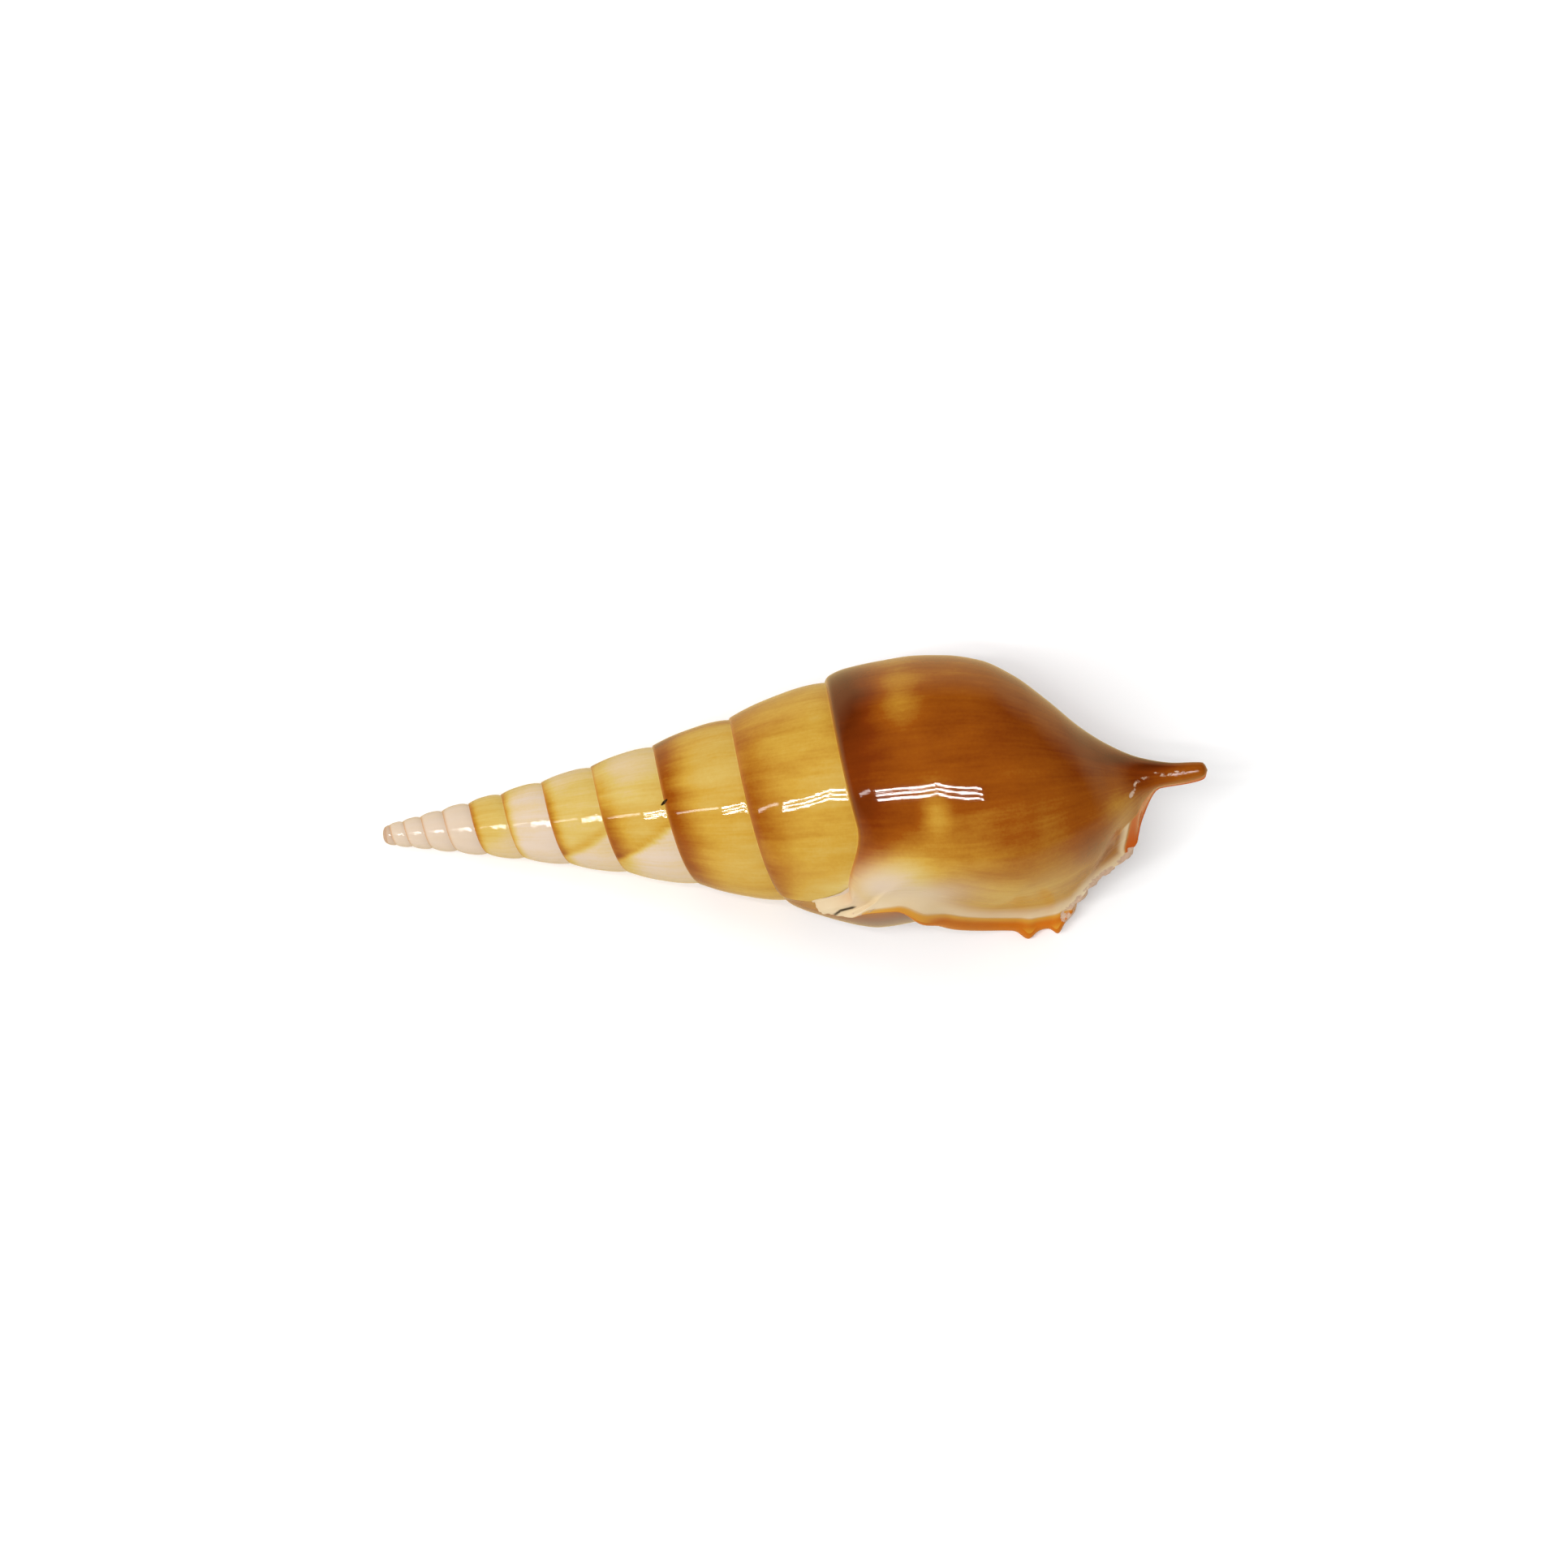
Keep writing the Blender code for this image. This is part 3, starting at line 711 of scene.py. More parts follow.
def free_skin(v, t):
    """The last stretch before its start is drawn to the seam."""
    v = np.asarray(v, float)[..., None]
    start = body_point(JOIN_TURN, t)
    tangent = (start - body_point(JOIN_TURN - STEP, t)) / STEP
    end = lip_line(t)
    angle = np.arctan2(end[..., 2], end[..., 1]) / (2.0 * math.pi)
    span = ((angle - (JOIN_TURN - 1.0)) % 1.0)[..., None]
    span = np.clip(span, 0.05, 0.25)
    reach = np.linalg.norm(end - start, axis=-1, keepdims=True)
    arrive = flare_direction(t) * np.minimum(FLARE, 0.6 * reach)
    return hermite(v, start, tangent * span, end, arrive)


def lip_turn(v):
    """Turn number between the regular spiral (0) and the lip (1)."""
    return JOIN_TURN + (INNER_TURN + 1.0 - JOIN_TURN) * np.asarray(v, float)


def skin(v, t):
    """The last stretch of the body whorl: from the regular spiral (0) to the lip (1)."""
    v, t = np.broadcast_arrays(np.asarray(v, float), np.asarray(t, float))
    seam_x, seam_r = seam(lip_turn(v))
    shift = point(lip_turn(v), seam_x, seam_r) - free_skin(v, np.zeros_like(t))
    return lifted(free_skin(v, t) + shift * seam_pull(t)[..., None], t)


def skin_normal(v, t):
    """Outward direction of that stretch."""
    along = skin(v, np.clip(t + STEP, 0.0, 1.0)) - skin(v, np.clip(t - STEP, 0.0, 1.0))
    across = skin(np.minimum(v + WIDE_STEP, 1.0), t) - skin(np.maximum(v - WIDE_STEP, 0.0), t)
    normal = np.cross(across, along)
    return normal / np.maximum(np.linalg.norm(normal, axis=-1, keepdims=True), TINY)


def rim_vector(t):
    """From the outer to the inner edge of the lip, square to the skin there."""
    along = lip_line(np.clip(t + STEP, 0.0, 1.0)) - lip_line(np.clip(t - STEP, 0.0, 1.0))
    inward = np.cross(along, flare_direction(t))
    inward = inward / np.linalg.norm(inward, axis=-1, keepdims=True)
    return inward * rim_thickness(t)[..., None]


def spaced(count, density):
    """Fractions from 0 to 1 that lie closer together where the density is high."""
    fine = np.linspace(0.0, 1.0, 4001)
    weight = density(fine)
    total = np.concatenate([[0.0], np.cumsum(0.5 * (weight[1:] + weight[:-1]))])
    return np.interp(np.linspace(0.0, 1.0, count + 1), total / total[-1], fine)


def whorl_density(s):
    """Rows lie closer together at both seams of a whorl."""
    return 1.0 + 9.0 * np.exp(-s / 0.02) + 3.0 * np.exp(-(1.0 - s) / 0.02)


def lip_density(t):
    """Rows lie closer together on the flap and along the teeth and the broken front."""
    flap = 2.2 * np.exp(-t / 0.01) + within(t, 0.10, 0.16)
    return 1.0 + flap + 1.8 * plateau(t, 0.40, 0.46, 0.76, 0.80)


ACROSS = spaced(SPIRE_ROWS, whorl_density)
AT_LIP = spaced(BODY_ROWS, lip_density)


def spire_rows(turn):
    """Places and radii across spire whorls, a column for each turn number."""
    turn = np.asarray(turn, float)[None, :]
    first, first_r = seam(turn)
    last, last_r = seam(turn + 1.0)
    x = first + (last - first) * ACROSS[:, None]
    radius = whorl_radius(turn, x) + lap(turn, x - first)
    radius[0] = first_r[0]
    radius[-1] = last_r[0]
    return x, radius


def inner_turn(t):
    """Turn number of the line where the inner lip begins, further round on the canal."""
    return INNER_TURN + (CANAL_INNER_TURN - INNER_TURN) * smooth(t, 0.56, 0.84)


def t_of_x(turn, x):
    """Fraction along the section of the body whorl at a place along the axis."""
    return inverse(lambda t: body_section(turn, t)[0], x)


def first_column():
    """Row fractions on the inner lip line: those shared with the spire, then the rest."""
    x = spire_rows([INNER_TURN])[0][:, 0]
    shared = t_of_x(INNER_TURN, x)
    shared[0] = 0.0
    rest = np.linspace(0.0, 1.0, BODY_ROWS - SPIRE_ROWS + 1)[1:]
    return np.concatenate([shared, shared[-1] + (1.0 - shared[-1]) * rest])


FIRST = first_column()
INNER_PLACES = (FIRST[SPIRE_ROWS:] - FIRST[SPIRE_ROWS]) / (1.0 - FIRST[SPIRE_ROWS])


def body_rows(column):
    """Row fractions on a column of the body whorl, 0 on the inner lip line and 1 at the lip."""
    return FIRST[:, None] + (AT_LIP - FIRST)[:, None] * smooth(column, 0.0, 0.9)


def lip_shares():
    """Columns between the regular spiral and the lip, closer together towards the edge."""
    return spaced(LIP_COLUMNS, lambda v: 1.0 + 3.0 * smooth(v, 0.8, 0.97))[1:]


def edge_shape(v, t):
    """Teeth, chips and torn flap, which fade away from the edge."""
    v = np.asarray(v, float)[..., None]
    return teeth(t) * v**TOOTH_REACH + chips(t) * v**CHIP_REACH


def body_block():
    """Points of the body whorl from the inner lip line round to the lip, with their turn and t."""
    total = REGULAR_COLUMNS + LIP_COLUMNS
    k = np.arange(REGULAR_COLUMNS + 1)
    t = body_rows(k / total)
    start = inner_turn(t)
    turn = start + (JOIN_TURN - start) * (k / REGULAR_COLUMNS)
    x, radius = body_section(turn, t)
    radius = radius + lap(turn, x - seam(turn)[0]) * within(t, *LAP_END)
    y, z = centre(t)
    regular = point(turn, x, radius, y, z)
    v = lip_shares()
    t_lip = body_rows((REGULAR_COLUMNS + np.arange(1, LIP_COLUMNS + 1)) / total)
    v_lip = np.broadcast_to(v, t_lip.shape)
    last = skin(v_lip, t_lip)
    rise = lap(lip_turn(v_lip), last[..., 0] - edge_x(lip_turn(v_lip)))
    rise = (rise * within(t_lip, *LAP_END) * within(v_lip, 0.5, 0.9))[..., None]
    away = last * (0.0, 1.0, 1.0)
    last = last + rise * away / np.maximum(np.linalg.norm(away, axis=-1, keepdims=True), TINY)
    last = last + edge_shape(v_lip, t_lip)
    points = np.concatenate([regular, last], 1)
    points[-1, :] = CANAL_TIP
    turns = np.concatenate([JOIN_TURN + (k / REGULAR_COLUMNS - 1.0) * (JOIN_TURN - INNER_TURN), lip_turn(v)])
    seam_x, seam_r = seam(turns)
    points[0] = point(turns, seam_x, seam_r)
    x, radius = spire_rows([INNER_TURN])
    points[: SPIRE_ROWS + 1, 0] = point(INNER_TURN, x[:, 0], radius[:, 0])
    all_turns = np.concatenate([turn, lip_turn(v_lip)], 1)
    all_t = np.concatenate([t, t_lip], 1)
    all_v = np.concatenate([np.zeros_like(t), v_lip], 1)
    return points, turns, all_turns, all_t, all_v


def section_limits(turn):
    """Where along the axis the cavity starts and ends at one turn number."""
    x = np.linspace(float(edge_x(turn)) + 1.0, CANAL_TIP[0] - 4.0, 240)
    gap = older_radius(turn, x) - WALL - older_radius(turn - 1.0, x) - INNER_WALL
    clear = np.nonzero(gap > CLEAR_GAP)[0]
    return x[clear[0]], x[clear[-1]]


def regular_sides(turn, at):
    """Outer and inner side of the cavity in one flat section."""
    first, last = section_limits(turn)
    x = first + (last - first) * at
    y, z = centre(t_of_x(turn, x))
    outer = point(turn, x, older_radius(turn, x) - WALL, y, z)
    inner = point(turn - 1.0, x, older_radius(turn - 1.0, x) + INNER_WALL, y, z)
    return outer, inner


def lip_sides(v, at):
    """Outer and inner side of the cavity between the regular spiral and the lip."""
    first, last = section_limits(JOIN_TURN)
    x = first + (last - first) * at
    t = t_of_x(JOIN_TURN, x)
    t = t + (at - t) * v
    thick = WALL + (rim_thickness(at) - WALL) * v * v
    outer = skin(v, t) - skin_normal(v, t) * thick[:, None]
    outer = outer + teeth(t) * v ** (2 * TOOTH_REACH) + chips(t) * v ** (2 * CHIP_REACH)
    t_edge = FIRST[SPIRE_ROWS] + (1.0 - FIRST[SPIRE_ROWS]) * at
    edge_turn = inner_turn(t_edge)
    edge_at = body_section(edge_turn, t_edge)[0]
    turn = JOIN_TURN - 1.0 + (edge_turn - JOIN_TURN + 1.0) * v
    place = x + (edge_at - x) * v
    radius = older_radius(turn, place) + INNER_WALL * (1.0 - v)
    sunk = smooth(t_edge, 0.70, 0.85) * smooth(edge_turn - turn, 0.0, 0.25)
    radius = radius * (1.0 - 0.85 * sunk)
    y, z = centre(t_of_x(JOIN_TURN, place))
    return outer, point(turn, place, radius, y, z)


def cavity_ring(sides, parameter, closing):
    """One closed loop of the cavity: out along the outer side and back along the inner side."""

    def close(at):
        outer, inner = sides(parameter, at)
        middle = 0.5 * (outer + inner)
        shut = np.sqrt(np.clip(1.0 - np.abs(2.0 * at - 1.0) ** 8, 0.0, 1.0))
        shut = (1.0 + (shut - 1.0) * closing)[:, None]
        return middle + (outer - middle) * shut, middle + (inner - middle) * shut

    outer = close(AT_LIP)[0]
    inner = close(INNER_PLACES)[1]
    ends = close(np.array([0.0, 1.0]))
    outer[0] = inner[0] = 0.5 * (ends[0][0] + ends[1][0])
    outer[-1] = inner[-1] = 0.5 * (ends[0][1] + ends[1][1])
    return np.concatenate([outer, inner[-2:0:-1]])


def strip_turns(last_turn):
    """Turn numbers of the strip's columns, repeated turn by turn so that neighbours share points."""
    cycle = np.asarray(last_turn[:-1])
    count = int(cycle[0] - FIRST_TURN + TINY)
    shifted = [cycle - shift for shift in range(count, -1, -1)]
    return np.concatenate(shifted + [np.asarray(last_turn[-1:])])


def picture_place(points):
    """Right and up in the picture, in millimetres, with the axis level."""
    yaw = math.radians(VIEW_YAW_DEG)
    return points[..., 0] * math.cos(yaw) - points[..., 2] * math.sin(yaw), points[..., 1]


def near(points, turn, x, y, half_x, half_y):
    """1 in the middle of a soft oval on the visible side, fading to 0 round it."""
    across, up = picture_place(points)
    fade = np.exp(-(((across - x) / half_x) ** 2) - ((up - y) / half_y) ** 2)
    return fade * np.maximum(smooth(points[..., 2], -8.0, 0.0), turn > 1.2)


def line_distance(points, line):
    """Distance in the picture plane from a line of places, in millimetres."""
    place = np.stack(picture_place(points), -1)
    nearest = np.full(place.shape[:-1], FAR)
    for start, end in zip(line[:-1], line[1:]):
        run = np.subtract(end, start)
        share = np.clip(((place - start) @ run) / (run @ run), 0.0, 1.0)
        away = np.linalg.norm(place - start - share[..., None] * run, axis=-1)
        nearest = np.minimum(nearest, away)
    return nearest


def outer_marks(points, turn, s):
    """Tone and masks of the outer skin."""
    wide = through(BAND_WIDTH, 1, turn)
    band = np.exp(-((s / wide) ** 2)) + 0.25 * np.exp(-((s / 0.03) ** 2))
    grown = turn + GROWTH_SLANT * s * within(turn, -1.3, -1.0)
    tone = through(BASE_TONE, 1, grown) + through(BAND_TONE, 1, turn) * band
    for x, y, half_x, half_y, change in SPOTS:
        tone = tone + change * near(points, turn, x, y, half_x, half_y)
    pink = within(turn, -5.3, -4.9)
    for x, y, half_x, half_y in PINK_SPOTS:
        pink = np.maximum(pink, near(points, turn, x, y, half_x, half_y) * (turn > 0.8))
    belly = glaze(turn, points[..., 0]) / GLAZE
    # The belly's glaze is darkened as painted shade for the shadow under the lip's rim; its pink is its own
    # colour
    tone = tone + BELLY_PAINTED_SHADE * belly
    pink = np.maximum(pink, BELLY_PINK * belly)
    edge = np.exp(-((s / through(SEAM_WIDTH, 1, turn)) ** 2))
    return {"tone": tone, "pink": pink, "seam": edge}


def lip_distance(points, stretch):
    """Distance in the picture plane from a stretch of the lip's edge, in millimetres."""
    edge = lip_line(np.linspace(*stretch, LIP_PLACES))
    return line_distance(points, np.stack(picture_place(edge), -1))


def lip_marks(points, t, distance):
    """Masks of the coloured rim, the cream band beside it, the worn places and the crack."""
    width = through(RIM_WIDTH, 1, t)
    rim = within(distance, 0.65 * width, width + 0.35) * smooth(width, 0.0, 0.5)
    width = through(CREAM_WIDTH, 1, t)
    cream = within(distance, 0.35 * width, 1.5 * width)
    red = np.maximum(smooth(t, 0.74, 0.80), 0.65 * within(distance, 0.2, 1.5))
    worn = plateau(t, *CHIPS_AT) * within(distance, 0.6, 2.9)
    rubbed = within(line_distance(points, CANAL_LINE), 0.3 * CANAL_LINE_WIDTH, CANAL_LINE_WIDTH)
    worn = np.maximum(worn, CANAL_WEAR * rubbed * smooth(points[..., 2], -1.6, -0.8))
    # Marks of the last stretch, which the picture shows from above
    last = smooth(distance, FAR, FAR - 1.0)
    away = lip_distance(points, FRONT_AT)
    cream = np.maximum(cream, within(away, 1.2, 2.9) * last)
    worn = np.maximum(worn, FRONT_WEAR * within(away, 1.0, 2.2) * last)
    away = lip_distance(points, UPTURN_AT)
    width = curve(UPTURN_PLACES, UPTURN_WIDTHS, points[..., 0])
    upturn = within(away, 0.8 * width, width) * last
    rim = np.maximum(rim, upturn)
    red = np.maximum(red, upturn)
    pale = smooth(away, 0.9 * width, 1.1 * width) * within(away, 1.1 * width, 1.8 * width)
    cream = np.maximum(cream, pale * last * within(points[..., 0], 134.5, 136.0))
    crack = within(line_distance(points, CRACK), 0.08, 0.34) * last
    worn = np.maximum(worn, CHIP_WEAR * within(line_distance(points, CHIP), 0.3, 0.9) * last)
    return {"rim": rim, "cream": cream * (1.0 - rim), "red": red, "worn": worn, "crack": crack}


class Mesh:
    """Collects blocks of points with their marks as quads; equal points are welded at the end."""

    marks = ("turn", "tone", "pink", "seam", "rim", "cream", "red", "inside", "worn", "crack", "place")

    def __init__(self):
        self.points = []
        self.faces = []
        self.values = []
        self.count = 0

    def grid(self, block, **marks):
        rows, columns = block.shape[:2]
        index = self.count + np.arange(rows * columns).reshape(rows, columns)
        quads = np.stack([index[:-1, :-1], index[:-1, 1:], index[1:, 1:], index[1:, :-1]], -1)
        values = [np.broadcast_to(marks.get(name, 0.0), (rows, columns)).reshape(-1) for name in self.marks]
        self.points.append(block.reshape(-1, 3))
        self.values.append(np.stack(values, -1))
        self.faces.append(quads.reshape(-1, 4))
        self.count += rows * columns

    def arrays(self):
        return np.concatenate(self.points), np.concatenate(self.faces), np.concatenate(self.values)


def dome(ring):
    """Rows of points from the first whorl's ring to the rounded tip."""
    rows = []
    for k in range(DOME_RINGS + 2):
        angle = 0.5 * math.pi * k / (DOME_RINGS + 1)
        row = ring.copy()
        row[:, 1:] *= math.cos(angle)
        row[:, 0] = TIP_RING_X * (1.0 - math.sin(angle))
        rows.append(row)
    rows = np.stack(rows[::-1], 0)
    return np.concatenate([rows, rows[:, :1]], 1)


def rim_rows(edge):
    """The rounded edge of the lip, from its outer to its inner side."""
    thick = rim_thickness(AT_LIP)
    bulge = 0.45 - 0.37 * plateau(AT_LIP, 0.57, 0.60, 0.76, 0.80)
    rows = []
    for k in range(RIM_STEPS + 1):
        turn = math.pi * k / RIM_STEPS
        across = rim_vector(AT_LIP) * (0.5 - 0.5 * math.cos(turn))
        out = flare_direction(AT_LIP) * (bulge * thick * math.sin(turn))[:, None]
        rows.append(edge + across + out)
    return np.stack(rows, 1)


def add_spire(mesh, turns):
    """All whorls of the spire in one long strip, and its worn tip."""
    strip = strip_turns(turns - 1.0)
    x, radius = spire_rows(strip)
    spire = point(strip, x, radius)
    turn = np.broadcast_to(strip, x.shape)
    marks = outer_marks(spire, turn, np.broadcast_to(ACROSS[:, None], x.shape))
    mesh.grid(spire, turn=turn, place=spire[..., 0], **marks)
    cap = dome(spire[0, : len(turns) - 1])
    mesh.grid(cap, turn=FIRST_TURN, pink=1.0, tone=TIP_TONE)


def add_body(mesh, body, turn, t, v):
    """The body whorl and the rounded edge of its lip, which is returned."""
    distance = np.linalg.norm(body - lip_line(t), axis=-1)
    distance = np.where(v > LIP_SHARE, distance, FAR)
    width = spiral_x(turn + 1.0) - spiral_x(turn)
    s = (body[..., 0] - edge_x(turn)) / width
    marks = outer_marks(body, turn, s) | lip_marks(body, t, distance)
    mesh.grid(body, turn=turn, place=body[..., 0], **marks)
    rim = rim_rows(body[:, -1])
    size = rim.shape[:2]
    t_rim = np.broadcast_to(AT_LIP[:, None], size)
    marks = {"tone": np.full(size, RIM_TONE)} | lip_marks(rim, t_rim, np.zeros(size))
    marks["red"] = np.maximum(marks["red"], RIM_RED * np.linspace(0.0, 1.0, RIM_STEPS + 1))
    mesh.grid(rim, turn=float(lip_turn(1.0)), place=rim[..., 0], **marks)
    return rim


def add_cavity(mesh, first_ring):
    """The inside, ring by ring from the opening to where it closes."""
    rings = [first_ring]
    for k in range(1, LIP_RINGS):
        share = 1.0 - k / LIP_RINGS
        rings.append(cavity_ring(lip_sides, share, min(1.0, 2.4 * k / LIP_RINGS)))
    for k in range(TUBE_RINGS):
        deep = JOIN_TURN + (DEEP_TURN - JOIN_TURN) * k / (TUBE_RINGS - 1)
        rings.append(cavity_ring(regular_sides, deep, 1.0))
    last = rings[-1]
    middle = last.mean(axis=0)
    for share in CLOSING_SHARES:
        rings.append(middle + (last - middle) * share)
    rings = np.stack(rings, 1)
    rings = np.concatenate([rings, rings[:1]], 0)
    depth = np.broadcast_to(np.linspace(0.0, 1.0, rings.shape[1]), rings.shape[:2])
    t_ring = np.concatenate([AT_LIP, FIRST[SPIRE_ROWS:][-2:0:-1], AT_LIP[:1]])[:, None] + 0.0 * depth
    outer_side = np.arange(len(rings))[:, None] < len(AT_LIP)
    tint = within(depth, 0.0, 0.10) * outer_side * smooth(t_ring, 0.11, 0.16)
    red = smooth(t_ring, 0.74, 0.80) * outer_side
    mesh.grid(rings, turn=LAST_TURN - depth, inside=1.0, rim=tint, red=red, place=rings[..., 0])


def build_arrays():
    """The whole skin: spire, body whorl, lip and inside."""
    mesh = Mesh()
    body, turns, turn, t, v = body_block()
    add_spire(mesh, turns)
    rim = add_body(mesh, body, turn, t, v)
    add_cavity(mesh, np.concatenate([rim[:, -1], body[SPIRE_ROWS:, 0][-2:0:-1]]))
    return mesh


def rest_matrix():
    """From the shell's own frame in millimetres to the frame at rest in metres."""
    pitch = Matrix.Rotation(math.radians(-PITCH_DEG), 4, "Y")
    roll = Matrix.Rotation(math.radians(ROLL_DEG), 4, "X")
    turn = Matrix.Scale(MM, 4) @ pitch @ roll
    tip = max((v.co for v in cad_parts["shell"].data.vertices), key=lambda co: co.x)
    return Matrix.Translation(Vector(tip) - turn @ Vector(CANAL_TIP)) @ turn


def make_shell(matrix):
    """The skin as one closed mesh in the rest pose, lying on the floor."""
    source = build_arrays()
    points, faces, values = source.arrays()
    data = bpy.data.meshes.new("glazed_shell")
    data.from_pydata(points.tolist(), [], faces.tolist())
    corners = np.empty(len(data.loops), np.int32)
    data.loops.foreach_get("vertex_index", corners)
    for k, name in enumerate(source.marks):
        layer = data.attributes.new(name, "FLOAT", "CORNER")
        layer.data.foreach_set("value", values[corners, k].astype(np.float32))
    work = bmesh.new()
    work.from_mesh(data)
    bmesh.ops.remove_doubles(work, verts=work.verts, dist=WELD_DISTANCE)
    bmesh.ops.dissolve_degenerate(work, edges=work.edges, dist=SHORT_EDGE)
    bmesh.ops.recalc_face_normals(work, faces=work.faces)
    work.transform(matrix)
    lowest = min(vertex.co.z for vertex in work.verts)
    work.transform(Matrix.Translation((0.0, 0.0, -lowest)))
    work.to_mesh(data)
    work.free()
    for polygon in data.polygons:
        polygon.use_smooth = True
    shell = bpy.data.objects.new("glazed_shell", data)
    bpy.context.scene.collection.objects.link(shell)
    return shell


def linear(red, green, blue):
    """A colour given as it looks on screen, 0 to 255, as the shader needs it under these lights."""
    shares = (c / 255.0 for c in (red, green, blue))
    return tuple(PAINT * (c / 12.92 if c <= 0.04045 else ((c + 0.055) / 1.055) ** 2.4) for c in shares)


class Nodes:
    """Short names for building the nodes of a material or of the world."""

    def __init__(self, owner):
        owner.use_nodes = True
        self.tree = owner.node_tree
        self.shader = self.tree.nodes.get("Principled BSDF")

    def put(self, kind, settings=(), **inputs):
        """A new node; its inputs are given by name, or by number as _0, _1 and so on."""
        node = self.tree.nodes.new(kind)
        for key, value in dict(settings).items():
            setattr(node, key, value)
        for key, value in inputs.items():
            socket = node.inputs[int(key[1:])] if key[1:].isdigit() else node.inputs[key.replace("_", " ")]
            self.set(socket, value)
        return node

    def set(self, socket, value):
        if isinstance(value, bpy.types.NodeSocket):
            self.tree.links.new(value, socket)
        else:
            socket.default_value = value

    def mark(self, name):
        return self.put("ShaderNodeAttribute", {"attribute_name": name}).outputs["Fac"]

    def math(self, operation, a, b, c=0.0):
        return self.put("ShaderNodeMath", {"operation": operation}, _0=a, _1=b, _2=c).outputs[0]

    def vector(self, x, y, z):
        return self.put("ShaderNodeCombineXYZ", X=x, Y=y, Z=z).outputs[0]

    def noise(self, vector, scale, detail, roughness):
        node = self.put("ShaderNodeTexNoise", Vector=vector, Scale=scale, Detail=detail, Roughness=roughness)
        return node.outputs["Fac"]

    def ramp(self, factor, stops):
        node = self.put("ShaderNodeValToRGB", Fac=factor)
        elements = node.color_ramp.elements
        while len(elements) < len(stops):
            elements.new(0.5)
        for element, (place, colour) in zip(elements, stops):
            element.position = place
            element.color = (*linear(*colour), 1.0)
        return node.outputs["Color"]

    def mix(self, factor, first, second):
        node = self.put("ShaderNodeMix", {"data_type": "RGBA"})
        self.set(node.inputs[0], factor)
        for socket, value in ((node.inputs[6], first), (node.inputs[7], second)):
            self.set(socket, value if isinstance(value, bpy.types.NodeSocket) else (*linear(*value), 1.0))
        return node.outputs[2]

    def between(self, value, start, end, top=1.0, bottom=0.0):
        """From the bottom value at the start to the top value at the end, held beyond both."""
        return self.put("ShaderNodeMapRange", Value=value, _1=start, _2=end, _3=bottom, _4=top).outputs[0]


def growth_lines(n, name):
    """Noise that changes quickly along the spiral and slowly across a whorl."""
    per_turn, per_mm, seed, detail, roughness = GROWTH_LINES[name]
    along = n.math("MULTIPLY", n.mark("turn"), per_turn)
    across = n.math("MULTIPLY", n.mark("place"), per_mm)
    return n.noise(n.vector(along, across, seed), 1.0, detail, roughness)


def whorl_tone(n, noise, late):
    """Tone from pale (0) to dark (1); near the lip its streaks fade and its growth lines crowd."""
    shares = {"streak": n.math("MULTIPLY_ADD", late, STREAK_LATE - 1.0, 1.0), "crowded": late}
    tone = n.mark("tone")
    for name, size in TONE_CHANGES.items():
        change = n.math("MULTIPLY_ADD", noise[name], size, -0.5 * size)
        if name in shares:
            change = n.math("MULTIPLY", change, shares[name])
        tone = n.math("ADD", tone, change)
    return tone


def worn_places(n, noise):
    """Places where the glaze is broken and the chalky layer shows, ragged at their edges."""
    flaked = n.math("MULTIPLY_ADD", noise["flakes"], FLAKE_SIZE, -FLAKE_START)
    worn = n.math("MULTIPLY_ADD", n.mark("worn"), FLAKE_MARK, flaked)
    return n.between(worn, 0.0, FLAKE_EDGE)


def speck(n, where, grain, matrix):
    """Mask of the small dark speck on the spire."""
    oval = n.put("ShaderNodeMapping", {"vector_type": "TEXTURE"}, Vector=where)
    oval.inputs["Location"].default_value = matrix @ Vector(SPECK_AT)
    oval.inputs["Rotation"].default_value = (0.0, 0.0, math.radians(SPECK_TURN_DEG))
    oval.inputs["Scale"].default_value = Vector(SPECK_SIZE) * MM
    away = n.put("ShaderNodeVectorMath", {"operation": "LENGTH"}, _0=oval.outputs[0]).outputs["Value"]
    return n.between(n.math("MULTIPLY_ADD", grain, SPECK_RAGGED, away), *SPECK_EDGE)


def surface_colour(n, noise, late, worn, dirt):
    """Whorls, then seams, cream band, rim and inside, with worn and dark places on top."""
    colour = n.ramp(whorl_tone(n, noise, late), TONES)
    colour = n.mix(n.math("MULTIPLY", n.mark("pink"), PINK_SHARE), colour, PINK)
    colour = n.mix(n.between(n.mark("turn"), *TIP_TURNS, TIP_SHARE), colour, TIP)
    colour = n.mix(n.math("MULTIPLY", n.mark("seam"), SEAM_SHARE), colour, SEAM_LINE)
    colour = n.mix(n.mark("cream"), colour, n.mix(noise["cloud"], *CREAM))
    rim = n.mix(n.mark("red"), n.mix(noise["cloud"], *GOLDEN_RIM), ORANGE_RIM)
    colour = n.mix(n.mark("rim"), colour, rim)
    inside = n.math("MULTIPLY", n.mark("inside"), n.math("SUBTRACT", 1.0, n.mark("rim")))
    colour = n.mix(inside, colour, n.mix(noise["cloud"], *INSIDE))
    colour = n.mix(worn, colour, n.mix(noise["grain"], *CHALK))
    return n.mix(n.math("MAXIMUM", dirt, n.mark("crack")), colour, DIRT)


def surface_bump(n, noise, worn):
    """Fine relief of the growth lines, and the worn places a little lower."""
    height = 0.0
    for name, size in HEIGHTS.items():
        height = n.math("MULTIPLY_ADD", noise[name], size, height)
    height = n.math("MULTIPLY_ADD", n.math("MULTIPLY", worn, noise["flakes"]), -WORN_DEPTH, height)
    bump = n.put("ShaderNodeBump", Height=height, Strength=BUMP_STRENGTH, Distance=BUMP_DISTANCE)
    return bump.outputs[0]


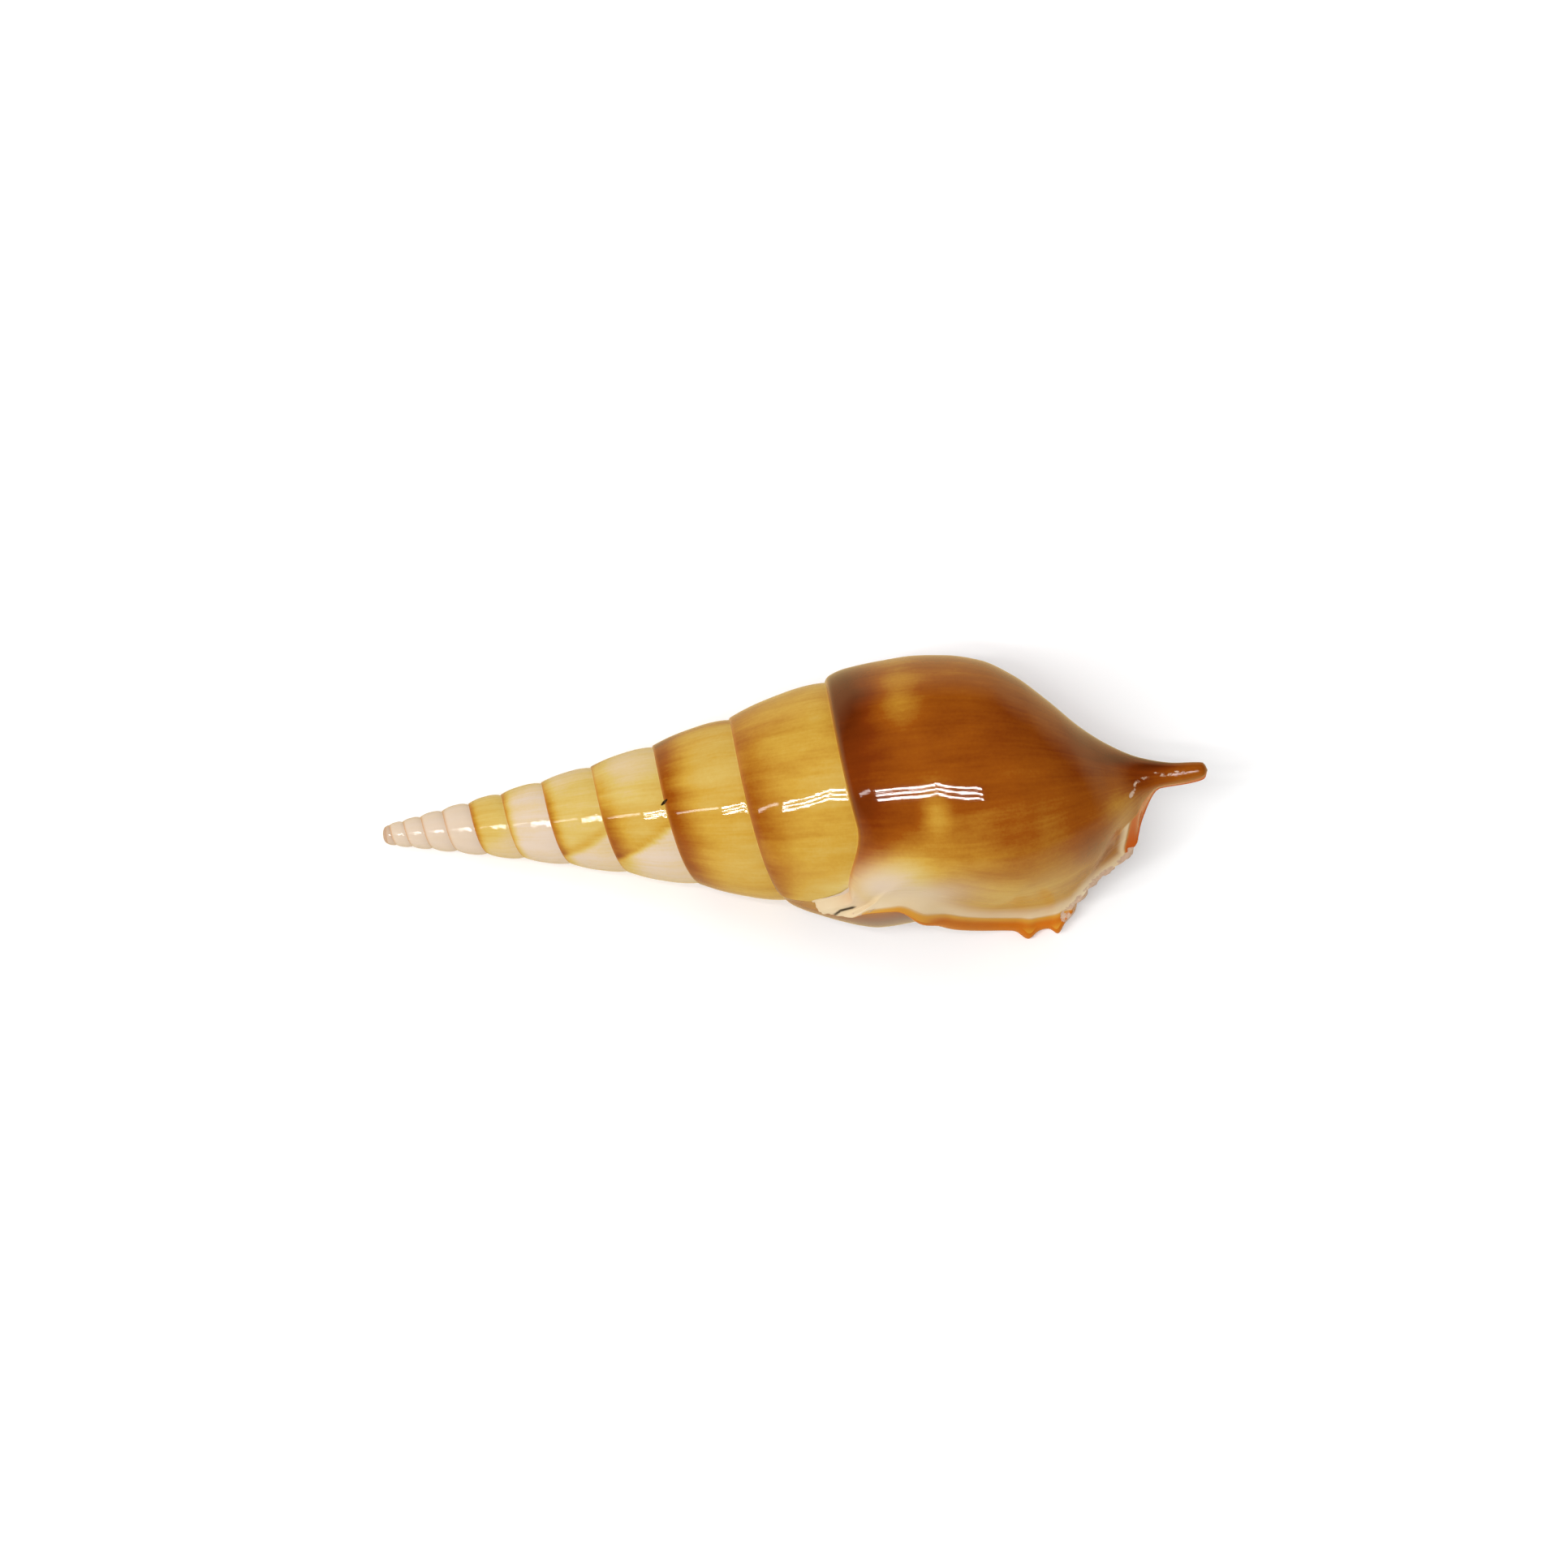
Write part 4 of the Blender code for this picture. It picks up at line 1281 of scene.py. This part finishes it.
def glaze_material(matrix):
    """The glossy shell: markings that follow the spiral, the lip and the worn places."""
    material = bpy.data.materials.new("glazed_shell")
    n = Nodes(material)
    where = n.put("ShaderNodeTexCoord").outputs["Object"]
    noise = {name: growth_lines(n, name) for name in GROWTH_LINES}
    noise |= {name: n.noise(where, *values) for name, values in PATCHES.items()}
    late = n.between(n.mark("turn"), *LATE_TURNS)
    worn = worn_places(n, noise)
    dirt = speck(n, where, noise["grain"], matrix)
    n.set(n.shader.inputs["Base Color"], surface_colour(n, noise, late, worn, dirt))
    n.set(n.shader.inputs["Normal"], surface_bump(n, noise, worn))
    rough = n.math("MULTIPLY_ADD", noise["fine"], ROUGH_FINE, ROUGH)
    dull = n.math("MULTIPLY_ADD", n.mark("rim"), ROUGH_RIM - ROUGH_LATE, ROUGH_LATE)
    rough = n.math("MULTIPLY_ADD", dull, late, rough)
    n.set(n.shader.inputs["Roughness"], n.math("MULTIPLY_ADD", worn, ROUGH_WORN, rough))
    for name, (plain, at_lip) in GLOSS.items():
        n.set(n.shader.inputs[name], n.math("MULTIPLY_ADD", late, at_lip - plain, plain))
    n.shader.inputs["Coat Roughness"].default_value = COAT_ROUGHNESS
    return material


def view_axes(matrix):
    """Right, up and toward the camera of the photograph, in the frame at rest."""
    yaw = math.radians(VIEW_YAW_DEG)
    turn = math.radians(VIEW_TURN_DEG)
    level = Vector((math.cos(yaw), 0.0, -math.sin(yaw)))
    side = Vector((0.0, 1.0, 0.0))
    toward = Vector((math.sin(yaw), 0.0, math.cos(yaw)))
    right = level * math.cos(turn) - side * math.sin(turn)
    up = level * math.sin(turn) + side * math.cos(turn)
    rotation = matrix.to_3x3().normalized()
    target = matrix @ (level * VIEW_CENTRE[0] + side * VIEW_CENTRE[1])
    return rotation @ right, rotation @ up, rotation @ toward, target


def pose(location, right, up, toward):
    """Placement at a location, with its axes to the right, up and toward the camera."""
    rotation = Matrix((right, up, toward)).transposed().to_4x4()
    return Matrix.Translation(location) @ rotation


def make_camera(axes):
    """The camera of the photograph, far enough away for a long lens."""
    right, up, toward, target = axes
    data = bpy.data.cameras.new("camera")
    data.lens = LENS_MM
    data.sensor_width = SENSOR_MM
    data.clip_end = CLIP_END
    distance = IMAGE_PIXELS * MM_PER_PIXEL * MM * LENS_MM / SENSOR_MM
    camera = bpy.data.objects.new("camera", data)
    camera.matrix_world = pose(target + toward * distance, right, up, toward)
    bpy.context.scene.collection.objects.link(camera)
    bpy.context.scene.camera = camera


def soft_light(name, axes, power, offset, size, tilt):
    """A soft box at an offset to the right, up and toward the camera, facing the shell."""
    right, up, toward, target = axes
    data = bpy.data.lights.new(name, "AREA")
    data.shape = "RECTANGLE"
    data.size, data.size_y = size
    data.energy = power
    place = target + right * offset[0] + up * offset[1] + toward * offset[2]
    facing = (place - target).normalized()
    across = up.cross(facing).normalized()
    across = Matrix.Rotation(math.radians(tilt), 3, facing) @ across
    light = bpy.data.objects.new(name, data)
    light.matrix_world = pose(place, across, facing.cross(across), facing)
    bpy.context.scene.collection.objects.link(light)
    return light


def make_floor():
    """A plain pale floor, which reflections don't show."""
    data = bpy.data.meshes.new("floor")
    corners = ((-1, -1), (1, -1), (1, 1), (-1, 1))
    data.from_pydata([(FLOOR_REACH * x, FLOOR_REACH * y, 0.0) for x, y in corners], [], [(0, 1, 2, 3)])
    floor = bpy.data.objects.new("floor", data)
    bpy.context.scene.collection.objects.link(floor)
    material = bpy.data.materials.new("pale_floor")
    data.materials.append(material)
    inputs = Nodes(material).shader.inputs
    inputs["Base Color"].default_value = FLOOR_COLOUR
    inputs["Roughness"].default_value = FLOOR_ROUGHNESS
    inputs["Emission Color"].default_value = WHITE
    inputs["Emission Strength"].default_value = FLOOR_GLOW
    floor.visible_glossy = False


def studio_world():
    """White surroundings; reflections show a dark studio above and a warm haze below the horizon."""
    world = bpy.data.worlds.new("studio")
    n = Nodes(world)
    background = n.tree.nodes["Background"]
    background.inputs["Color"].default_value = WHITE
    background.inputs["Strength"].default_value = WORLD_LIGHT
    direction = n.put("ShaderNodeTexCoord").outputs["Generated"]
    height = n.put("ShaderNodeSeparateXYZ", Vector=direction).outputs["Z"]
    strength = n.between(height, HAZE_FROM, HAZE_FULL, HAZE_LIGHT, HAZE_ABOVE * HAZE_LIGHT)
    haze = n.put("ShaderNodeBackground", Color=HAZE_COLOUR, Strength=strength)
    glossy = n.put("ShaderNodeLightPath").outputs["Is Glossy Ray"]
    choose = n.put("ShaderNodeMixShader", _0=glossy, _1=background.outputs[0], _2=haze.outputs[0])
    n.set(n.tree.nodes["World Output"].inputs["Surface"], choose.outputs[0])
    return world


def make_studio(axes):
    """Floor, surroundings and soft lights."""
    make_floor()
    bpy.context.scene.world = studio_world()
    bpy.context.scene.view_settings.view_transform = "Standard"
    share = KEY_WATTS / (len(KEYS) * len(KEY_LIFTS))
    for lift in KEY_LIFTS:
        for name, ((right, up, toward), size, tilt) in KEYS.items():
            soft_light(name, axes, share, (right, up + lift, toward), size, tilt)
    soft_light("strip", axes, STRIP_WATTS, *STRIP)
    fill = soft_light("fill", axes, FILL_WATTS, *FILL)
    fill.visible_glossy = False


def main():
    """Builds the skin, the camera and the studio."""
    matrix = rest_matrix()
    shell = make_shell(matrix)
    shell.data.materials.append(glaze_material(matrix))
    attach(shell, "root")
    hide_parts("shell")
    axes = view_axes(matrix)
    make_camera(axes)
    make_studio(axes)


main()
